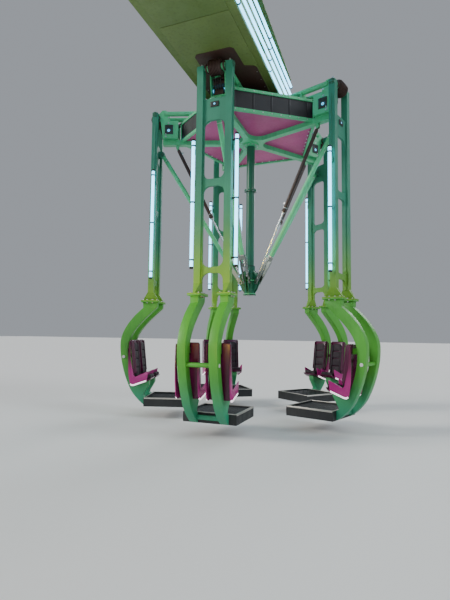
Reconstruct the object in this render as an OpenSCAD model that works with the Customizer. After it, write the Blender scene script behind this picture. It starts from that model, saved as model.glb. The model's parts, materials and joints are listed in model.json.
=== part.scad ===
// Overhanging swing ride: a box-girder jib on a pedestal carries a spinning head,
// from which five long arms with two-seat gondolas hang and swing outward.
// Millimetres, +Z up. Origin: centre of the base flange's underside. The jib runs along +Y.

/* [Pedestal] */
// Outside diameter of the pedestal's tube
pedestal_d = 1300; // [1000:10:1500]
// Wall thickness of the pedestal's tube
pedestal_wall = 30; // [15:1:50]
// Diameter of the base flange
base_d = 2300; // [2000:10:2700]
// Thickness of the base flange
base_t = 60; // [40:5:90]
// Number of anchor bolts in the base flange
anchors = 20; // [12:1:28]
// Diameter of an anchor bolt hole
anchor_d = 42; // [26:1:52]
// Distance from the flange's rim to the bolt circle
anchor_edge = 130; // [90:5:180]
// Height of the base's stiffening gussets
base_gusset_h = 650; // [400:10:900]
// Diameter of the slewing ring under the jib
slew_d = 1800; // [1500:10:1900]
// Height of the fixed half of the slewing ring
slew_h = 180; // [120:5:260]

/* [Jib] */
// Distance from the pedestal's axis to the head's axis
reach = 15000; // [12500:100:18000]
// Length of jib beyond the head's axis
jib_nose = 1100; // [950:50:1500]
// Length of jib behind the pedestal's axis
jib_tail = 3000; // [2400:100:4000]
// Width of the jib's box over its webs
jib_w = 1340; // [1200:10:1500]
// How far the flange plates stand out past the webs
lip = 130; // [60:5:180]
// Depth of the jib at its nose
nose_h = 1050; // [800:10:1300]
// Depth of the jib over the pedestal
root_h = 1900; // [1500:10:2300]
// Thickness of the jib's plates
plate_t = 25; // [15:1:40]
// Spacing of the web stiffeners
rib_pitch = 1500; // [1000:50:2500]
// Height of each of the two counterweights behind the tail
weight_h = 440; // [300:10:560]
// Distance that the light strips start before the head's axis
strip_back = 7200; // [5000:100:9000]
// Distance that the light strips run on past the head's axis
strip_on = 700; // [300:50:1000]
// Spacing of the light strips up the jib's side
strip_pitch = 240; // [180:5:260]
// Spacing of the light strips' stand-offs
strip_mount_pitch = 1200; // [600:50:2000]

/* [Head] */
// Height of the arm pivots above the base
pivot_z = 6955; // [6900:5:7400]
// Gap between the arm pivots and the underside of the jib
jib_gap = 245; // [220:5:400]
// Distance from the head's axis to the middle of an arm's posts
arm_r = 2240; // [2150:10:2500]
// Distance from the head's axis to a corner of the deck
deck_r = 1716; // [1500:4:1760]
// Size of the deck's square edge rails
rail = 60; // [40:5:80]
// Height of the deck frame over its rails
deck_h = 490; // [420:5:560]
// Thickness of the deck's dark side panels
fascia_t = 12; // [6:1:20]
// Width of a spider beam
beam_w = 130; // [90:5:170]
// Depth of a spider beam
beam_h = 120; // [90:5:140]
// Radius of the fillets between the spider beams
beam_fillet = 260; // [120:10:340]
// Distance from the head's axis to the end of a spider beam
beam_r = 2100; // [1950:10:2120]
// Height of the arm pivots above the deck
deck_drop = 55; // [40:5:80]
// Diameter of an outrigger's top tubes
top_tube_d = 110; // [80:2:120]
// Height of the top tubes above the arm pivots
top_tube_up = 115; // [110:1:125]
// Distance from the arm's middle plane to a top tube's centre
top_tube_y = 150; // [120:2:160]
// Diameter of the hole in an outrigger's side plates
gusset_hole_d = 180; // [120:5:220]
// Diameter of the central column
column_d = 190; // [150:2:220]
// Height of the column's foot above the base
column_foot_z = 2780; // [2700:10:2860]
// Height of the column's collar above the base
collar_z = 5260; // [5200:10:5400]

/* [Arms] */
// Length of an arm from its pivot down to the flange above the claws
arm_len = 4375; // [4200:5:4500]
// Distance between the middles of an arm's two posts
post_pitch = 590; // [540:2:640]
// Width of a post
post_w = 130; // [100:2:140]
// Wall thickness of a post
post_wall = 10; // [6:1:16]
// Thickness of the web plates between the posts
web_t = 50; // [20:2:60]
// Width of the slots in the web plates
slot_w = 420; // [360:5:430]
// Radius of the slots' corners
slot_r = 130; // [60:5:170]
// Height of the arch at the foot of the arm
arch_h = 400; // [300:10:500]
// Height of the cross bar above the arch
low_bar_h = 115; // [80:5:160]
// Height of the cross bar between the two long slots
mid_bar_h = 140; // [90:5:200]
// Height of the slot below the lever web
mid_slot_h = 1140; // [1000:10:1250]
// Height of the solid web that carries the lever pin
lever_web_h = 430; // [340:10:480]
// Distance from the pivot down to the lever pin
lever_drop = 835; // [790:5:880]
// Distance from the posts' middle in to the lever pin
lever_in = 130; // [115:5:160]
// Diameter of the arm's pivot pin
pivot_pin_d = 70; // [50:2:80]
// Thickness of the flanges between an arm and its claws
joint_t = 25; // [16:1:35]
// Radial length of those flanges
joint_len = 400; // [360:5:440]
// Height over which a post's foot flares out to its flange
flare_h = 185; // [140:5:220]

/* [Claws and gondola] */
// Height of a claw below the arm's flange
claw_h = 2315; // [2250:5:2400]
// Distance that a claw bulges out past the post's middle
bulge = 650; // [600:5:700]
// Depth of a claw at its widest
band = 175; // [160:5:200]
// Width of a claw across the arm
claw_w = 160; // [130:5:180]
// Depth of a claw where it meets the arm's flange
claw_top = 330; // [300:5:356]
// Height of the cut end of a claw
foot_h = 185; // [170:5:200]
// Distance from the posts' middle out to the cut end of a claw
foot_x = 58; // [40:2:80]
// Diameter of the cross tube behind the seats
seat_tube_d = 80; // [60:2:90]
// Length of the gondola's floor
floor_len = 1000; // [850:10:1050]
// Width of the gondola's floor
floor_w = 1040; // [1000:10:1100]
// Thickness of the gondola's floor box
floor_t = 185; // [150:5:185]
// Width of one seat
seat_w = 460; // [400:5:500]
// Thickness of a seat's back
seat_back_t = 70; // [50:2:90]
// Diameter of a light tube
light_d = 70; // [50:2:90]

/* [Mechanism] */
// Outside diameter of the sliding runner
runner_d = 240; // [232:2:260]
// Height of the sliding runner
runner_h = 640; // [560:10:700]
// Distance from the head's axis to the runner's strut lugs
lug_r = 215; // [205:1:230]
// Height of the strut lugs above the column's foot
lug_up = 270; // [240:5:300]
// Diameter of a strut's tube
strut_d = 100; // [80:2:110]
// Length of a strut's fork
fork_len = 620; // [500:10:750]
// Diameter of a lift cylinder's barrel
barrel_d = 80; // [60:2:90]
// Length of a lift cylinder's barrel
barrel_len = 1900; // [1700:10:2000]
// Diameter of a lift cylinder's rod
rod_d = 40; // [30:2:44]

/* [Hidden] */
$fn = 48;
ARMS = 5;
arm_step = 360 / ARMS;
arm_parts = ["frame", "claws", "seats", "floor", "lights"];
moving_parts = ["strut", "lift_barrel", "lift_rod"];

ring_clear = 0.5;
pin_clear = 0.8;
slide_clear = 0.5;
shim = 0.05;

// Heights that follow from the pivots
jib_z = pivot_z + jib_gap;
deck_top = pivot_z - deck_drop;
top_tube_z = pivot_z + top_tube_up;
deck_bottom = deck_top - deck_h;
beam_z = deck_bottom - beam_h + rail;
flange_z = pivot_z - arm_len;
post_top = pivot_z + 50;
flare_z = flange_z + joint_t + flare_h;
lever_z = pivot_z - lever_drop;
web_top = lever_z + lever_web_h / 2;
mid_slot_top = lever_z - lever_web_h / 2;
mid_bar_top = mid_slot_top - mid_slot_h;

// Pedestal and jib
turret_h = 260;
slew_z = jib_z - turret_h;
pedestal_top = slew_z - ring_clear - slew_h;
base_gussets = 10;
gusset_t = 20;
jib_back = 300;
root_y = 2600;
root_back_y = -1500;
tail_h = 1300;
nose_rake = 250;
nose_cut = 350;
rib_t = 20;
rib_out = 90;

// Head
bearing_d = 1100;
bearing_h = 100;
hub_d = 900;
drive_d = 280;
drive_r = 760;
drive_gap = 15;
plate_up = 10;
collar_d = 285;
collar_h = 50;
foot_d = 300;
foot_t = 20;
side_plate_t = 20;
sleeve_d = 120;
sleeve_len = 400;
tube_inner_r = 950;
tube_outer_r = arm_r - 180;
saddle_r = [tube_inner_r + 30, 1430];
saddle_t = 40;
gusset_hole_r = 1950;
gusset_hole_z = 6660;

// Pins, lugs and the points that they join
lever_pin_d = 50;
joint_w = 250;
ear_t = 25;
ear_r = 60;
ear_gap = 92;
strut_eye_w = 80;
strut_eye_d = 110;
neck_w = 70;
neck_len = 130;
lug_z = column_foot_z + lug_up;
lug_t = 20;
lug_gap = 50;
lug_len = 60;
fork_in = 55;
fork_cheek_t = 20;
fork_w = 80;
lift_r = 1750;
lift_z = beam_z - 70;
lift_eye_w = 34;
lift_eye_d = 56;
lift_foot_r = lug_r;
lift_foot_z = lug_z + 150;
lift_pin_d = 24;
rod_inside = 200;
lever_r = arm_r - lever_in;
strut_lean = atan2(lever_r - lug_r, lever_z - lug_z);
strut_len = norm([lever_r - lug_r, lever_z - lug_z]);
lift_lean = atan2(lift_r - lift_foot_r, lift_z - lift_foot_z);
lift_len = norm([lift_r - lift_foot_r, lift_z - lift_foot_z]);

// Gondola, measured from the arm's flange plane
floor_top = foot_h - claw_h;
seat_back_top = -870;
seat_back_x = 395;
seat_lean = 110 / 995;
seat_tube_x = bulge - band / 2;
seat_tube_z = -1250;
cap_t = 8;
neck_h = 150;
pan_front = -60;
pan_z = -1750;
pan_slope = 115 / 345;
pan_t = 105;
shell_t = 20;
shell_top = pan_z + 440;
tray = 30;
light_out = 150;
light_in = 50;
light_bottom = 500;
light_len = 2520;

// A point on a cubic curve and a list of points along it
function bezier(a, b, c, d, t) =
  pow(1 - t, 3) * a + 3 * t * pow(1 - t, 2) * b + 3 * t * t * (1 - t) * c + pow(t, 3) * d;
function curve(a, b, c, d, n = 8) = [for (i = [1 : n]) bezier(a, b, c, d, i / n)];

// An outline moved inward by t, for points that run anticlockwise
function unit(v) = v / norm(v);
function inset(p, t) = [
  for (i = [0 : len(p) - 1])
    let (
      a = p[(i + len(p) - 1) % len(p)],
      b = p[i],
      c = p[(i + 1) % len(p)],
      u = unit(b - a),
      v = unit(c - b),
      m = [-u[1], u[0]],
      n = [-v[1], v[0]]
    )
    b + t * (m + n) / (1 + m * n)
];

// The space of arm k: x runs outward from the head's axis, y across the arm
module at_arm(k) translate([0, reach, 0]) rotate([0, 0, -90 + arm_step * (k - 1)]) children();

// A flat shape drawn in (y, z), thickened along x
module cross_plate(t) rotate([90, 0, 90]) translate([0, 0, -t / 2]) linear_extrude(t) children();

// A flat shape drawn in (x, z), thickened along y
module radial_plate(t) rotate([90, 0, 0]) translate([0, 0, -t / 2]) linear_extrude(t) children();

// A round bar across the arm
module cross_bar(d, l) rotate([90, 0, 0]) cylinder(d = d, h = l, center = true);

// Pedestal
module base_flange() color("darkslategray") {
  difference() {
    cylinder(d = base_d, h = base_t, $fn = 96);
    for (i = [0 : anchors - 1]) rotate([0, 0, i * 360 / anchors])
      translate([base_d / 2 - anchor_edge, 0, -1]) cylinder(d = anchor_d, h = base_t + 2);
  }
  for (i = [0 : base_gussets - 1]) rotate([0, 0, (i + 0.25) * 360 / base_gussets])
    radial_plate(gusset_t) base_gusset_shape();
}

module base_gusset_shape() {
  inner = pedestal_d / 2 + 2;
  outer = base_d / 2 - anchor_edge - anchor_d;
  polygon([[inner, base_t - 1], [outer, base_t - 1], [outer, base_t + 60],
           [inner + 60, base_t + base_gusset_h], [inner, base_t + base_gusset_h]]);
}

module pedestal() color("darkslategray") {
  difference() {
    union() {
      translate([0, 0, base_t]) cylinder(d = pedestal_d, h = pedestal_top - base_t, $fn = 96);
      translate([0, 0, pedestal_top - base_t]) cylinder(d = slew_d, h = base_t, $fn = 96);
      for (i = [0 : base_gussets - 1]) rotate([0, 0, i * 360 / base_gussets])
        radial_plate(gusset_t) pedestal_gusset_shape();
    }
    translate([0, 0, base_t - 1])
      cylinder(d = pedestal_d - 2 * pedestal_wall, h = pedestal_top, $fn = 96);
  }
}

module pedestal_gusset_shape() {
  inner = pedestal_d / 2 - pedestal_wall / 2;
  top = pedestal_top - base_t;
  polygon([[inner, top - base_gusset_h], [inner + 80, top - base_gusset_h],
           [slew_d / 2 - 20, top - 40], [slew_d / 2 - 20, top + 1], [inner, top + 1]]);
}

module slewing_ring() color("dimgray") {
  difference() {
    union() {
      translate([0, 0, pedestal_top]) cylinder(d = slew_d - 40, h = slew_h, $fn = 96);
      translate([0, 0, pedestal_top]) cylinder(d = slew_d, h = 50, $fn = 96);
    }
    translate([0, 0, pedestal_top - 1])
      cylinder(d = pedestal_d - 2 * pedestal_wall, h = slew_h + 2, $fn = 96);
  }
}

// Jib
function jib_outline() = [
  [-jib_tail + jib_back, 0], [reach + jib_nose, 0],
  [reach + jib_nose, nose_h - nose_rake], [reach + jib_nose - nose_cut, nose_h],
  [root_y, root_h], [root_back_y, root_h], [-jib_tail, tail_h], [-jib_tail, jib_back]
];

// Depth of the jib at a distance along it
function jib_depth(y) = y < root_y ? root_h
  : root_h - (root_h - nose_h) * (y - root_y) / (reach + jib_nose - nose_cut - root_y);

module jib_shape(w, outline) rotate([90, 0, 90]) translate([0, 0, -w / 2])
  linear_extrude(w) polygon(outline);

module jib_box() color("darkolivegreen") translate([0, 0, jib_z]) {
  flange_w = jib_w + 2 * lip;
  difference() {
    union() {
      jib_shape(jib_w, jib_outline());
      intersection() {
        difference() {
          jib_shape(flange_w, jib_outline());
          jib_shape(flange_w + 2, inset(jib_outline(), plate_t));
        }
        translate([-flange_w, root_back_y, -1])
          cube([2 * flange_w, reach + jib_nose - nose_cut - root_back_y, root_h + 2]);
      }
      for (s = [-1, 1], y = [root_back_y + rib_pitch : rib_pitch : reach - rib_pitch / 2])
        translate([s * (jib_w / 2 + rib_out / 2) - rib_out / 2, y, plate_t / 2])
          cube([rib_out, rib_t, jib_depth(y + rib_t) - plate_t]);
    }
    jib_shape(jib_w - 2 * plate_t, inset(jib_outline(), plate_t));
  }
}

module jib_turret() color("dimgray") {
  difference() {
    translate([0, 0, slew_z]) cylinder(d = slew_d - 20, h = turret_h, $fn = 96);
    translate([0, 0, slew_z - 1]) cylinder(d = pedestal_d - 200, h = turret_h + 2, $fn = 96);
  }
}

module jib_counterweight() color("dimgray") {
  depth = 520;
  for (s = [-1, 1])
    translate([-jib_w / 2 + 40, -jib_tail - depth, jib_z + (tail_h - weight_h) / 2 + s * (weight_h / 2 + 10)])
      cube([jib_w - 80, depth, weight_h]);
}

// Plain light strips along both sides of the jib, each on its stand-off
module sign_strips() color("aliceblue") {
  strip_d = 60;
  out = jib_w / 2 + rib_out + 60;
  first = reach - strip_back;
  last = reach + strip_on;
  for (s = [-1, 1], row = [0 : 3]) {
    z = jib_z + 80 + row * strip_pitch;
    translate([s * out, first, z]) rotate([-90, 0, 0]) cylinder(d = strip_d, h = last - first);
    for (y = [first + strip_mount_pitch / 3 : strip_mount_pitch : last]) {
      web = jib_w / 2;
      translate([s * (web + out) / 2 - (out - web) / 2, y, z - 15]) cube([out - web, 30, 30]);
    }
  }
}

module head_bearing() color("dimgray") translate([0, reach, jib_z - bearing_h])
  difference() {
    cylinder(d = bearing_d, h = bearing_h, $fn = 96);
    translate([0, 0, -1]) cylinder(d = hub_d - 300, h = bearing_h + 2, $fn = 96);
  }

module head_drives() color("dimgray") translate([0, reach, 0])
  for (a = [90, 210, 330]) rotate([0, 0, a]) translate([drive_r, 0, deck_top + drive_gap]) {
    cylinder(d = drive_d - 60, h = jib_z - deck_top - drive_gap);
    translate([0, 0, 60]) cylinder(d = drive_d, h = jib_z - deck_top - drive_gap - 60);
  }

// Head
module pentagon(r) circle(r = r, $fn = ARMS);

module at_head() translate([0, reach, 0]) rotate([0, 0, -90]) children();

module deck_ring(outer, inner, z, h) translate([0, 0, z]) linear_extrude(h)
  difference() {
    pentagon(outer);
    pentagon(inner);
  }

// Corner radius of a pentagon whose sides lie t inside those of a larger one
function inner_r(r, t) = r - t / cos(arm_step / 2);

// The star of beams seen from above, with round fillets in its corners
module spider_shape(grow = 0) {
  half = beam_w / 2 + grow;
  fillet = beam_fillet - grow;
  cut = 1.5;
  far = (half + fillet) / sin(arm_step / 2);
  near = far * cos(arm_step / 2);
  for (k = [0 : ARMS - 1]) rotate(k * arm_step) translate([0, -half]) square([beam_r, 2 * half]);
  difference() {
    circle(r = norm([near, half]), $fn = 96);
    for (k = [0 : ARMS - 1]) rotate((k + 0.5) * arm_step) translate([far, 0]) circle(r = fillet + cut);
  }
}

module hub_drum() color("saddlebrown") translate([0, reach, 0])
  difference() {
    union() {
      translate([0, 0, deck_top]) cylinder(d = hub_d, h = jib_z - bearing_h - ring_clear - deck_top, $fn = 96);
      translate([0, 0, deck_top]) cylinder(d = hub_d + 200, h = 40, $fn = 96);
    }
    translate([0, 0, deck_top - 1]) cylinder(d = hub_d - 300, h = jib_gap + deck_h, $fn = 96);
  }

module deck_plate() color("dimgray") at_head()
  translate([0, 0, deck_top - plate_up]) linear_extrude(plate_up) pentagon(inner_r(deck_r, rail));

module deck_rails() color("mediumaquamarine") at_head() {
  deck_ring(deck_r, inner_r(deck_r, rail), deck_top - rail, rail);
  difference() {
    deck_ring(deck_r, inner_r(deck_r, rail), deck_bottom, rail);
    translate([0, 0, deck_bottom - 1]) linear_extrude(rail + 2) spider_shape();
  }
}

module deck_fascia() color("black") at_head() {
  outer = inner_r(deck_r, rail / 3);
  deck_ring(outer, inner_r(outer, fascia_t), deck_bottom + rail, deck_h - 2 * rail);
}

module soffit_panels() color("mediumvioletred") at_head()
  translate([0, 0, deck_bottom + rail - 2 * plate_up]) linear_extrude(plate_up)
    difference() {
      pentagon(inner_r(deck_r, rail));
      spider_shape();
    }

module spider_beams() color("aquamarine") at_head() {
  translate([0, 0, beam_z]) linear_extrude(beam_h) spider_shape();
  for (k = [0 : ARMS - 1]) rotate([0, 0, k * arm_step]) lift_bracket();
  translate([0, 0, beam_z + beam_h])
    cylinder(d = hub_d - 400, h = deck_top - plate_up - beam_z - beam_h);
}

// Two ears and a pin under a spider beam, for the top of a lift cylinder
module lift_bracket() {
  for (s = [-1, 1]) translate([0, s * (lift_eye_w / 2 + 12), 0]) radial_plate(16) {
    translate([lift_r, lift_z]) circle(d = lift_eye_d + 10);
    translate([lift_r - (lift_eye_d + 10) / 2, lift_z]) square([lift_eye_d + 10, beam_z - lift_z + 1]);
  }
  translate([lift_r, 0, lift_z]) cross_bar(lift_pin_d, lift_eye_w + 40);
}

// Twin top tubes on saddles, side plates with a round hole, and the arm's pivot sleeve
module outriggers() color("aquamarine") at_head()
  for (k = [0 : ARMS - 1]) rotate([0, 0, k * arm_step]) {
    for (s = [-1, 1]) translate([0, s * top_tube_y, 0]) {
      translate([tube_inner_r, 0, top_tube_z]) rotate([0, 90, 0])
        cylinder(d = top_tube_d, h = tube_outer_r - tube_inner_r);
      outrigger_side();
    }
    for (r = saddle_r) translate([r, -top_tube_y - top_tube_d / 2, deck_top + shim])
      cube([saddle_t, 2 * top_tube_y + top_tube_d, top_tube_z - deck_top - shim]);
    outrigger_foot();
    translate([arm_r, 0, pivot_z]) difference() {
      cross_bar(sleeve_d, sleeve_len);
      cross_bar(pivot_pin_d + 2 * pin_clear, sleeve_len + 2);
    }
  }

// Side plate: a web on the spider beam and a wedge that takes the tube and the sleeve
module outrigger_side() {
  near = deck_r + 10;
  wedge = tube_outer_r - 130;
  radial_plate(side_plate_t) difference() {
    union() {
      polygon([[near, beam_z + beam_h], [beam_r - 10, beam_z + beam_h], [arm_r - 90, pivot_z - 60],
               [wedge, deck_top], [near, deck_top]]);
      polygon([[wedge, deck_top], [arm_r - 90, pivot_z - 60], [arm_r, pivot_z - sleeve_d / 2 + 6],
               [arm_r + 40, pivot_z + 20], [tube_outer_r + 50, jib_z - 45],
               [tube_outer_r - 20, jib_z - 45], [wedge, top_tube_z + 20]]);
    }
    translate([gusset_hole_r, gusset_hole_z]) circle(d = gusset_hole_d);
    translate([arm_r, pivot_z]) circle(d = pivot_pin_d + 2 * pin_clear);
  }
}

// The plate that ties the two side plates to the spider beam
module outrigger_foot() {
  near = deck_r + 10;
  w = 2 * top_tube_y + side_plate_t;
  translate([near, -w / 2, beam_z + beam_h + shim]) cube([beam_r - 10 - near, w, side_plate_t]);
}

module column() color("seagreen") translate([0, reach, 0]) {
  translate([0, 0, column_foot_z]) cylinder(d = column_d, h = beam_z - column_foot_z);
  translate([0, 0, collar_z - collar_h]) cylinder(d = collar_d, h = collar_h);
  translate([0, 0, column_foot_z - foot_t]) difference() {
    cylinder(d = foot_d, h = foot_t);
    for (k = [0 : ARMS - 1]) rotate([0, 0, -90 + (k + 0.5) * arm_step])
      translate([foot_d * 0.58, 0, -1]) cylinder(d = foot_d * 0.42, h = foot_t + 2);
  }
}

module runner() color("seagreen") translate([0, reach, 0]) {
  bottom = column_foot_z + 10;
  difference() {
    union() {
      translate([0, 0, bottom]) cylinder(d = runner_d, h = runner_h);
      for (k = [0 : ARMS - 1]) rotate([0, 0, -90 + k * arm_step]) runner_lugs(bottom);
    }
    translate([0, 0, bottom - 1]) cylinder(d = column_d + 2 * slide_clear, h = runner_h + 2);
  }
}

module runner_lugs(bottom) {
  inner = runner_d / 2 - 8;
  for (s = [-1, 1]) translate([0, s * (lug_gap + lug_t) / 2, 0]) radial_plate(lug_t)
    polygon([[inner, bottom + 20], [lug_r - 20, bottom + 120], [lug_r + 25, lug_z - 30],
             [lug_r + 25, lug_z + 40], [lift_foot_r + 30, lift_foot_z + 40],
             [inner, lift_foot_z + 140]]);
}

// Arms
module slot(z0, z1) {
  r = min(slot_r, slot_w / 2 - 1);
  translate([-slot_w / 2, z0 + r]) square([slot_w, z1 - z0 - 2 * r]);
  translate([-slot_w / 2 + r, z0]) square([slot_w - 2 * r, z1 - z0]);
  for (s = [-1, 1], z = [z0 + r, z1 - r]) translate([s * (slot_w / 2 - r), z]) circle(r = r);
}

module arm_frame(k) color("mediumseagreen") at_arm(k) translate([arm_r, 0, 0]) {
  for (s = [-1, 1]) translate([0, s * post_pitch / 2, 0]) post();
  cross_plate(web_t) difference() {
    translate([-post_pitch / 2, flare_z]) square([post_pitch, web_top - flare_z]);
    slot(flange_z - arch_h, flange_z + arch_h);
    slot(flange_z + arch_h + low_bar_h, mid_bar_top - mid_bar_h);
    slot(mid_bar_top, mid_slot_top);
  }
  for (s = [-1, 1]) translate([0, s * (ear_gap + ear_t) / 2, 0]) radial_plate(ear_t) {
    translate([-lever_in, lever_z]) circle(r = ear_r);
    translate([-lever_in, lever_z - ear_r]) square([lever_in, 2 * ear_r]);
  }
  translate([-lever_in, 0, lever_z]) cross_bar(lever_pin_d, ear_gap + 2 * ear_t + 20);
  translate([0, 0, pivot_z]) cross_bar(pivot_pin_d, post_pitch);
}

// A hollow post whose foot flares out along the arm and narrows across it
module post() {
  h = post_top - flare_z;
  inner = post_w - 2 * post_wall;
  foot_y = 40;
  translate([-post_w / 2, -post_w / 2, flare_z - 1]) difference() {
    cube([post_w, post_w, h + 1]);
    translate([post_wall, post_wall, -1]) cube([inner, inner, h + 1 - post_wall]);
  }
  intersection() {
    radial_plate(post_w) flare(post_w, joint_len - 40);
    cross_plate(joint_len) flare(post_w, foot_y);
  }
  translate([-joint_len / 2, -joint_w / 2, flange_z]) cube([joint_len, joint_w, joint_t]);
}

// Outline of a post's foot, from its top width down to its bottom width
module flare(top, bottom)
  polygon([[-top / 2, flare_z], [-bottom / 2, flange_z + joint_t], [bottom / 2, flange_z + joint_t],
           [top / 2, flare_z]]);

// Outer edge of a claw: a short neck, the bulge, and the sweep in to the cut end
function claw_outer() =
  let (
    a = [claw_top / 2 - 10, -neck_h],
    b = [bulge, -0.425 * claw_h],
    c = [bulge - 229, -0.825 * claw_h],
    d = [foot_x, -claw_h]
  )
  concat(
    [[claw_top / 2, -joint_t], a],
    curve(a, [bulge - 265, -0.147 * claw_h], [bulge + 15, -0.289 * claw_h], b),
    curve(b, [bulge, -0.546 * claw_h], [bulge - 89, -0.704 * claw_h], c),
    curve(c, [bulge - 275, -0.877 * claw_h], [foot_x + 142, -0.963 * claw_h], d)
  );

// Inner edge of a claw, from the cut end over the seat's bracket up to the neck
function claw_inner() =
  let (
    side = bulge - band,
    rest = side - 185,
    a = [rest, pan_under(rest)],
    b = [side + 3, -0.469 * claw_h],
    c = [-claw_top / 2 + 5, 20 - neck_h]
  )
  concat(
    [[foot_x, foot_h - claw_h - 5], [foot_x + 52, foot_h - claw_h + 30], [foot_x + 40, foot_h - claw_h + 75],
     [-15, pan_under(-15) - 95], [-15, pan_under(-15)], a],
    curve(a, [rest + 100, -0.698 * claw_h], [side + 8, -0.581 * claw_h], b),
    curve(b, [side + 15, -0.302 * claw_h], [side - 325, -0.186 * claw_h], c),
    [[-claw_top / 2, -joint_t]]
  );

// Outward place of the seat back's rear face at a height below the flange
function seat_rear(z) = seat_back_x + seat_lean * (z - seat_back_top);

// Height of the seat pan's underside at a distance from the posts' middle
function pan_under(x) = pan_z - pan_slope * (x - pan_front);

module arm_claws(k) color("limegreen") at_arm(k) translate([arm_r, 0, flange_z]) {
  for (s = [-1, 1]) translate([0, s * post_pitch / 2, 0]) {
    radial_plate(claw_w) polygon(concat(claw_outer(), claw_inner()));
    radial_plate(claw_w - 60) back_lug();
    translate([-joint_len / 2, -joint_w / 2, -joint_t]) cube([joint_len, joint_w, joint_t]);
  }
  translate([seat_tube_x, 0, seat_tube_z]) cross_bar(seat_tube_d, post_pitch + claw_w + 2 * cap_t);
  translate([foot_x, -post_pitch / 2, 65 - claw_h]) cube([60, post_pitch, 80]);
}

// The lug that holds a seat's back to its claw
module back_lug() {
  top = -950;
  low = -1060;
  polygon([[seat_rear(low), low], [bulge - band / 2, low], [bulge - band / 2, top], [seat_rear(top), top]]);
}

module arm_floor(k) color("black") at_arm(k) translate([arm_r + foot_x - floor_len, 0, flange_z + floor_top])
  difference() {
    translate([0, -floor_w / 2, -floor_t]) cube([floor_len, floor_w, floor_t]);
    translate([tray, tray - floor_w / 2, -tray]) cube([floor_len - 2 * tray, floor_w - 2 * tray, tray + 1]);
  }

module arm_seats(k) color("mediumvioletred") at_arm(k) translate([arm_r, 0, flange_z])
  for (s = [-1, 1]) translate([0, s * post_pitch / 2, 0]) {
    radial_plate(seat_w - 2 * shell_t) seat_shape();
    for (e = [-1, 1]) translate([0, e * (seat_w - shell_t) / 2, 0]) radial_plate(shell_t) shell_shape();
  }

// A seat: the pan that rises forward and the back that leans outward
module seat_shape() {
  heel = seat_rear(pan_z - 115);
  inner = heel - seat_back_t;
  polygon([[pan_front, pan_under(pan_front)], [heel, pan_under(heel)],
           [seat_back_x, seat_back_top], [seat_back_x - seat_back_t, seat_back_top],
           [inner, pan_under(inner) + pan_t], [pan_front + 20, pan_under(pan_front + 20) + pan_t + 25],
           [pan_front - 25, pan_under(pan_front) + pan_t], [pan_front - 35, pan_under(pan_front) + 50]]);
}

// The shell at each side of a seat: a broad V with a rounded heel
module shell_shape() {
  heel = [bulge - 340, pan_z - 40];
  heel_r = 90;
  translate(heel) circle(r = heel_r);
  polygon([[pan_front + 30, pan_z + 205], [heel[0] - 45, pan_z + 50], [bulge - 210, shell_top - 20],
           [bulge - 155, shell_top - 40], [bulge - 175, pan_z + 230], heel + [heel_r * 0.995, heel_r * 0.1],
           heel, heel - [heel_r * 0.26, heel_r * 0.966], [pan_front + 60, pan_z - 25]]);
}

module arm_lights(k) color("aliceblue") at_arm(k)
  for (s = [-1, 1]) {
    y = post_pitch / 2 + light_out;
    face = (post_pitch + post_w) / 2;
    translate([arm_r - light_in, s * y, flange_z + light_bottom]) cylinder(d = light_d, h = light_len);
    for (z = [150, light_len / 2, light_len - 150])
      translate([arm_r - light_in - 15, s * (face + y) / 2 - (y - face) / 2, flange_z + light_bottom + z])
        cube([30, y - face, 40]);
  }

// Mechanism
module strut(k) color("aquamarine") at_arm(k) translate([lug_r, 0, lug_z]) rotate([0, strut_lean, 0])
  difference() {
    union() {
      translate([0, 0, fork_len]) cylinder(d = strut_d, h = strut_len - fork_len - neck_len);
      translate([-40, -neck_w / 2, strut_len - neck_len - 20]) cube([80, neck_w, neck_len + 20]);
      translate([0, 0, strut_len]) cross_bar(strut_eye_d, strut_eye_w);
      for (s = [-1, 1]) translate([0, s * (fork_in + fork_cheek_t / 2), 0]) radial_plate(fork_cheek_t) {
        circle(d = fork_w);
        translate([-fork_w / 2, 0]) square([fork_w, fork_len]);
      }
      translate([-fork_w / 2, -fork_in - fork_cheek_t, fork_len - 60])
        cube([fork_w, 2 * (fork_in + fork_cheek_t), 90]);
    }
    translate([0, 0, strut_len]) cross_bar(lever_pin_d + 2 * pin_clear, strut_eye_w + 2);
    cross_bar(lever_pin_d, 2 * fork_in + 3 * fork_cheek_t);
  }

module lift_barrel(k) color("sienna") at_arm(k) translate([lift_r, 0, lift_z])
  rotate([0, lift_lean - 180, 0]) difference() {
    union() {
      cross_bar(lift_eye_d, lift_eye_w);
      translate([-18, -lift_eye_w / 2, 0]) cube([36, lift_eye_w, 60]);
      translate([0, 0, 55]) cylinder(d = barrel_d, h = barrel_len - 55);
      translate([0, 0, barrel_len - 60]) cylinder(d = barrel_d + 20, h = 60);
    }
    cross_bar(lift_pin_d + 2 * pin_clear, lift_eye_w + 2);
    translate([0, 0, 100]) cylinder(d = rod_d + 2 * pin_clear, h = barrel_len);
  }

module lift_rod(k) color("silver") at_arm(k) translate([lift_foot_r, 0, lift_foot_z])
  rotate([0, lift_lean, 0]) {
    cylinder(d = rod_d, h = lift_len - barrel_len + rod_inside);
    cross_bar(lift_eye_d, lift_eye_w);
  }

base_flange();
pedestal();
slewing_ring();
jib_box();
jib_turret();
jib_counterweight();
sign_strips();
head_bearing();
head_drives();
hub_drum();
deck_plate();
deck_rails();
deck_fascia();
soffit_panels();
spider_beams();
outriggers();
column();
runner();
for (k = [1 : ARMS]) {
  arm_frame(k);
  arm_claws(k);
  arm_seats(k);
  arm_floor(k);
  arm_lights(k);
  strut(k);
  lift_barrel(k);
  lift_rod(k);
}
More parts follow.
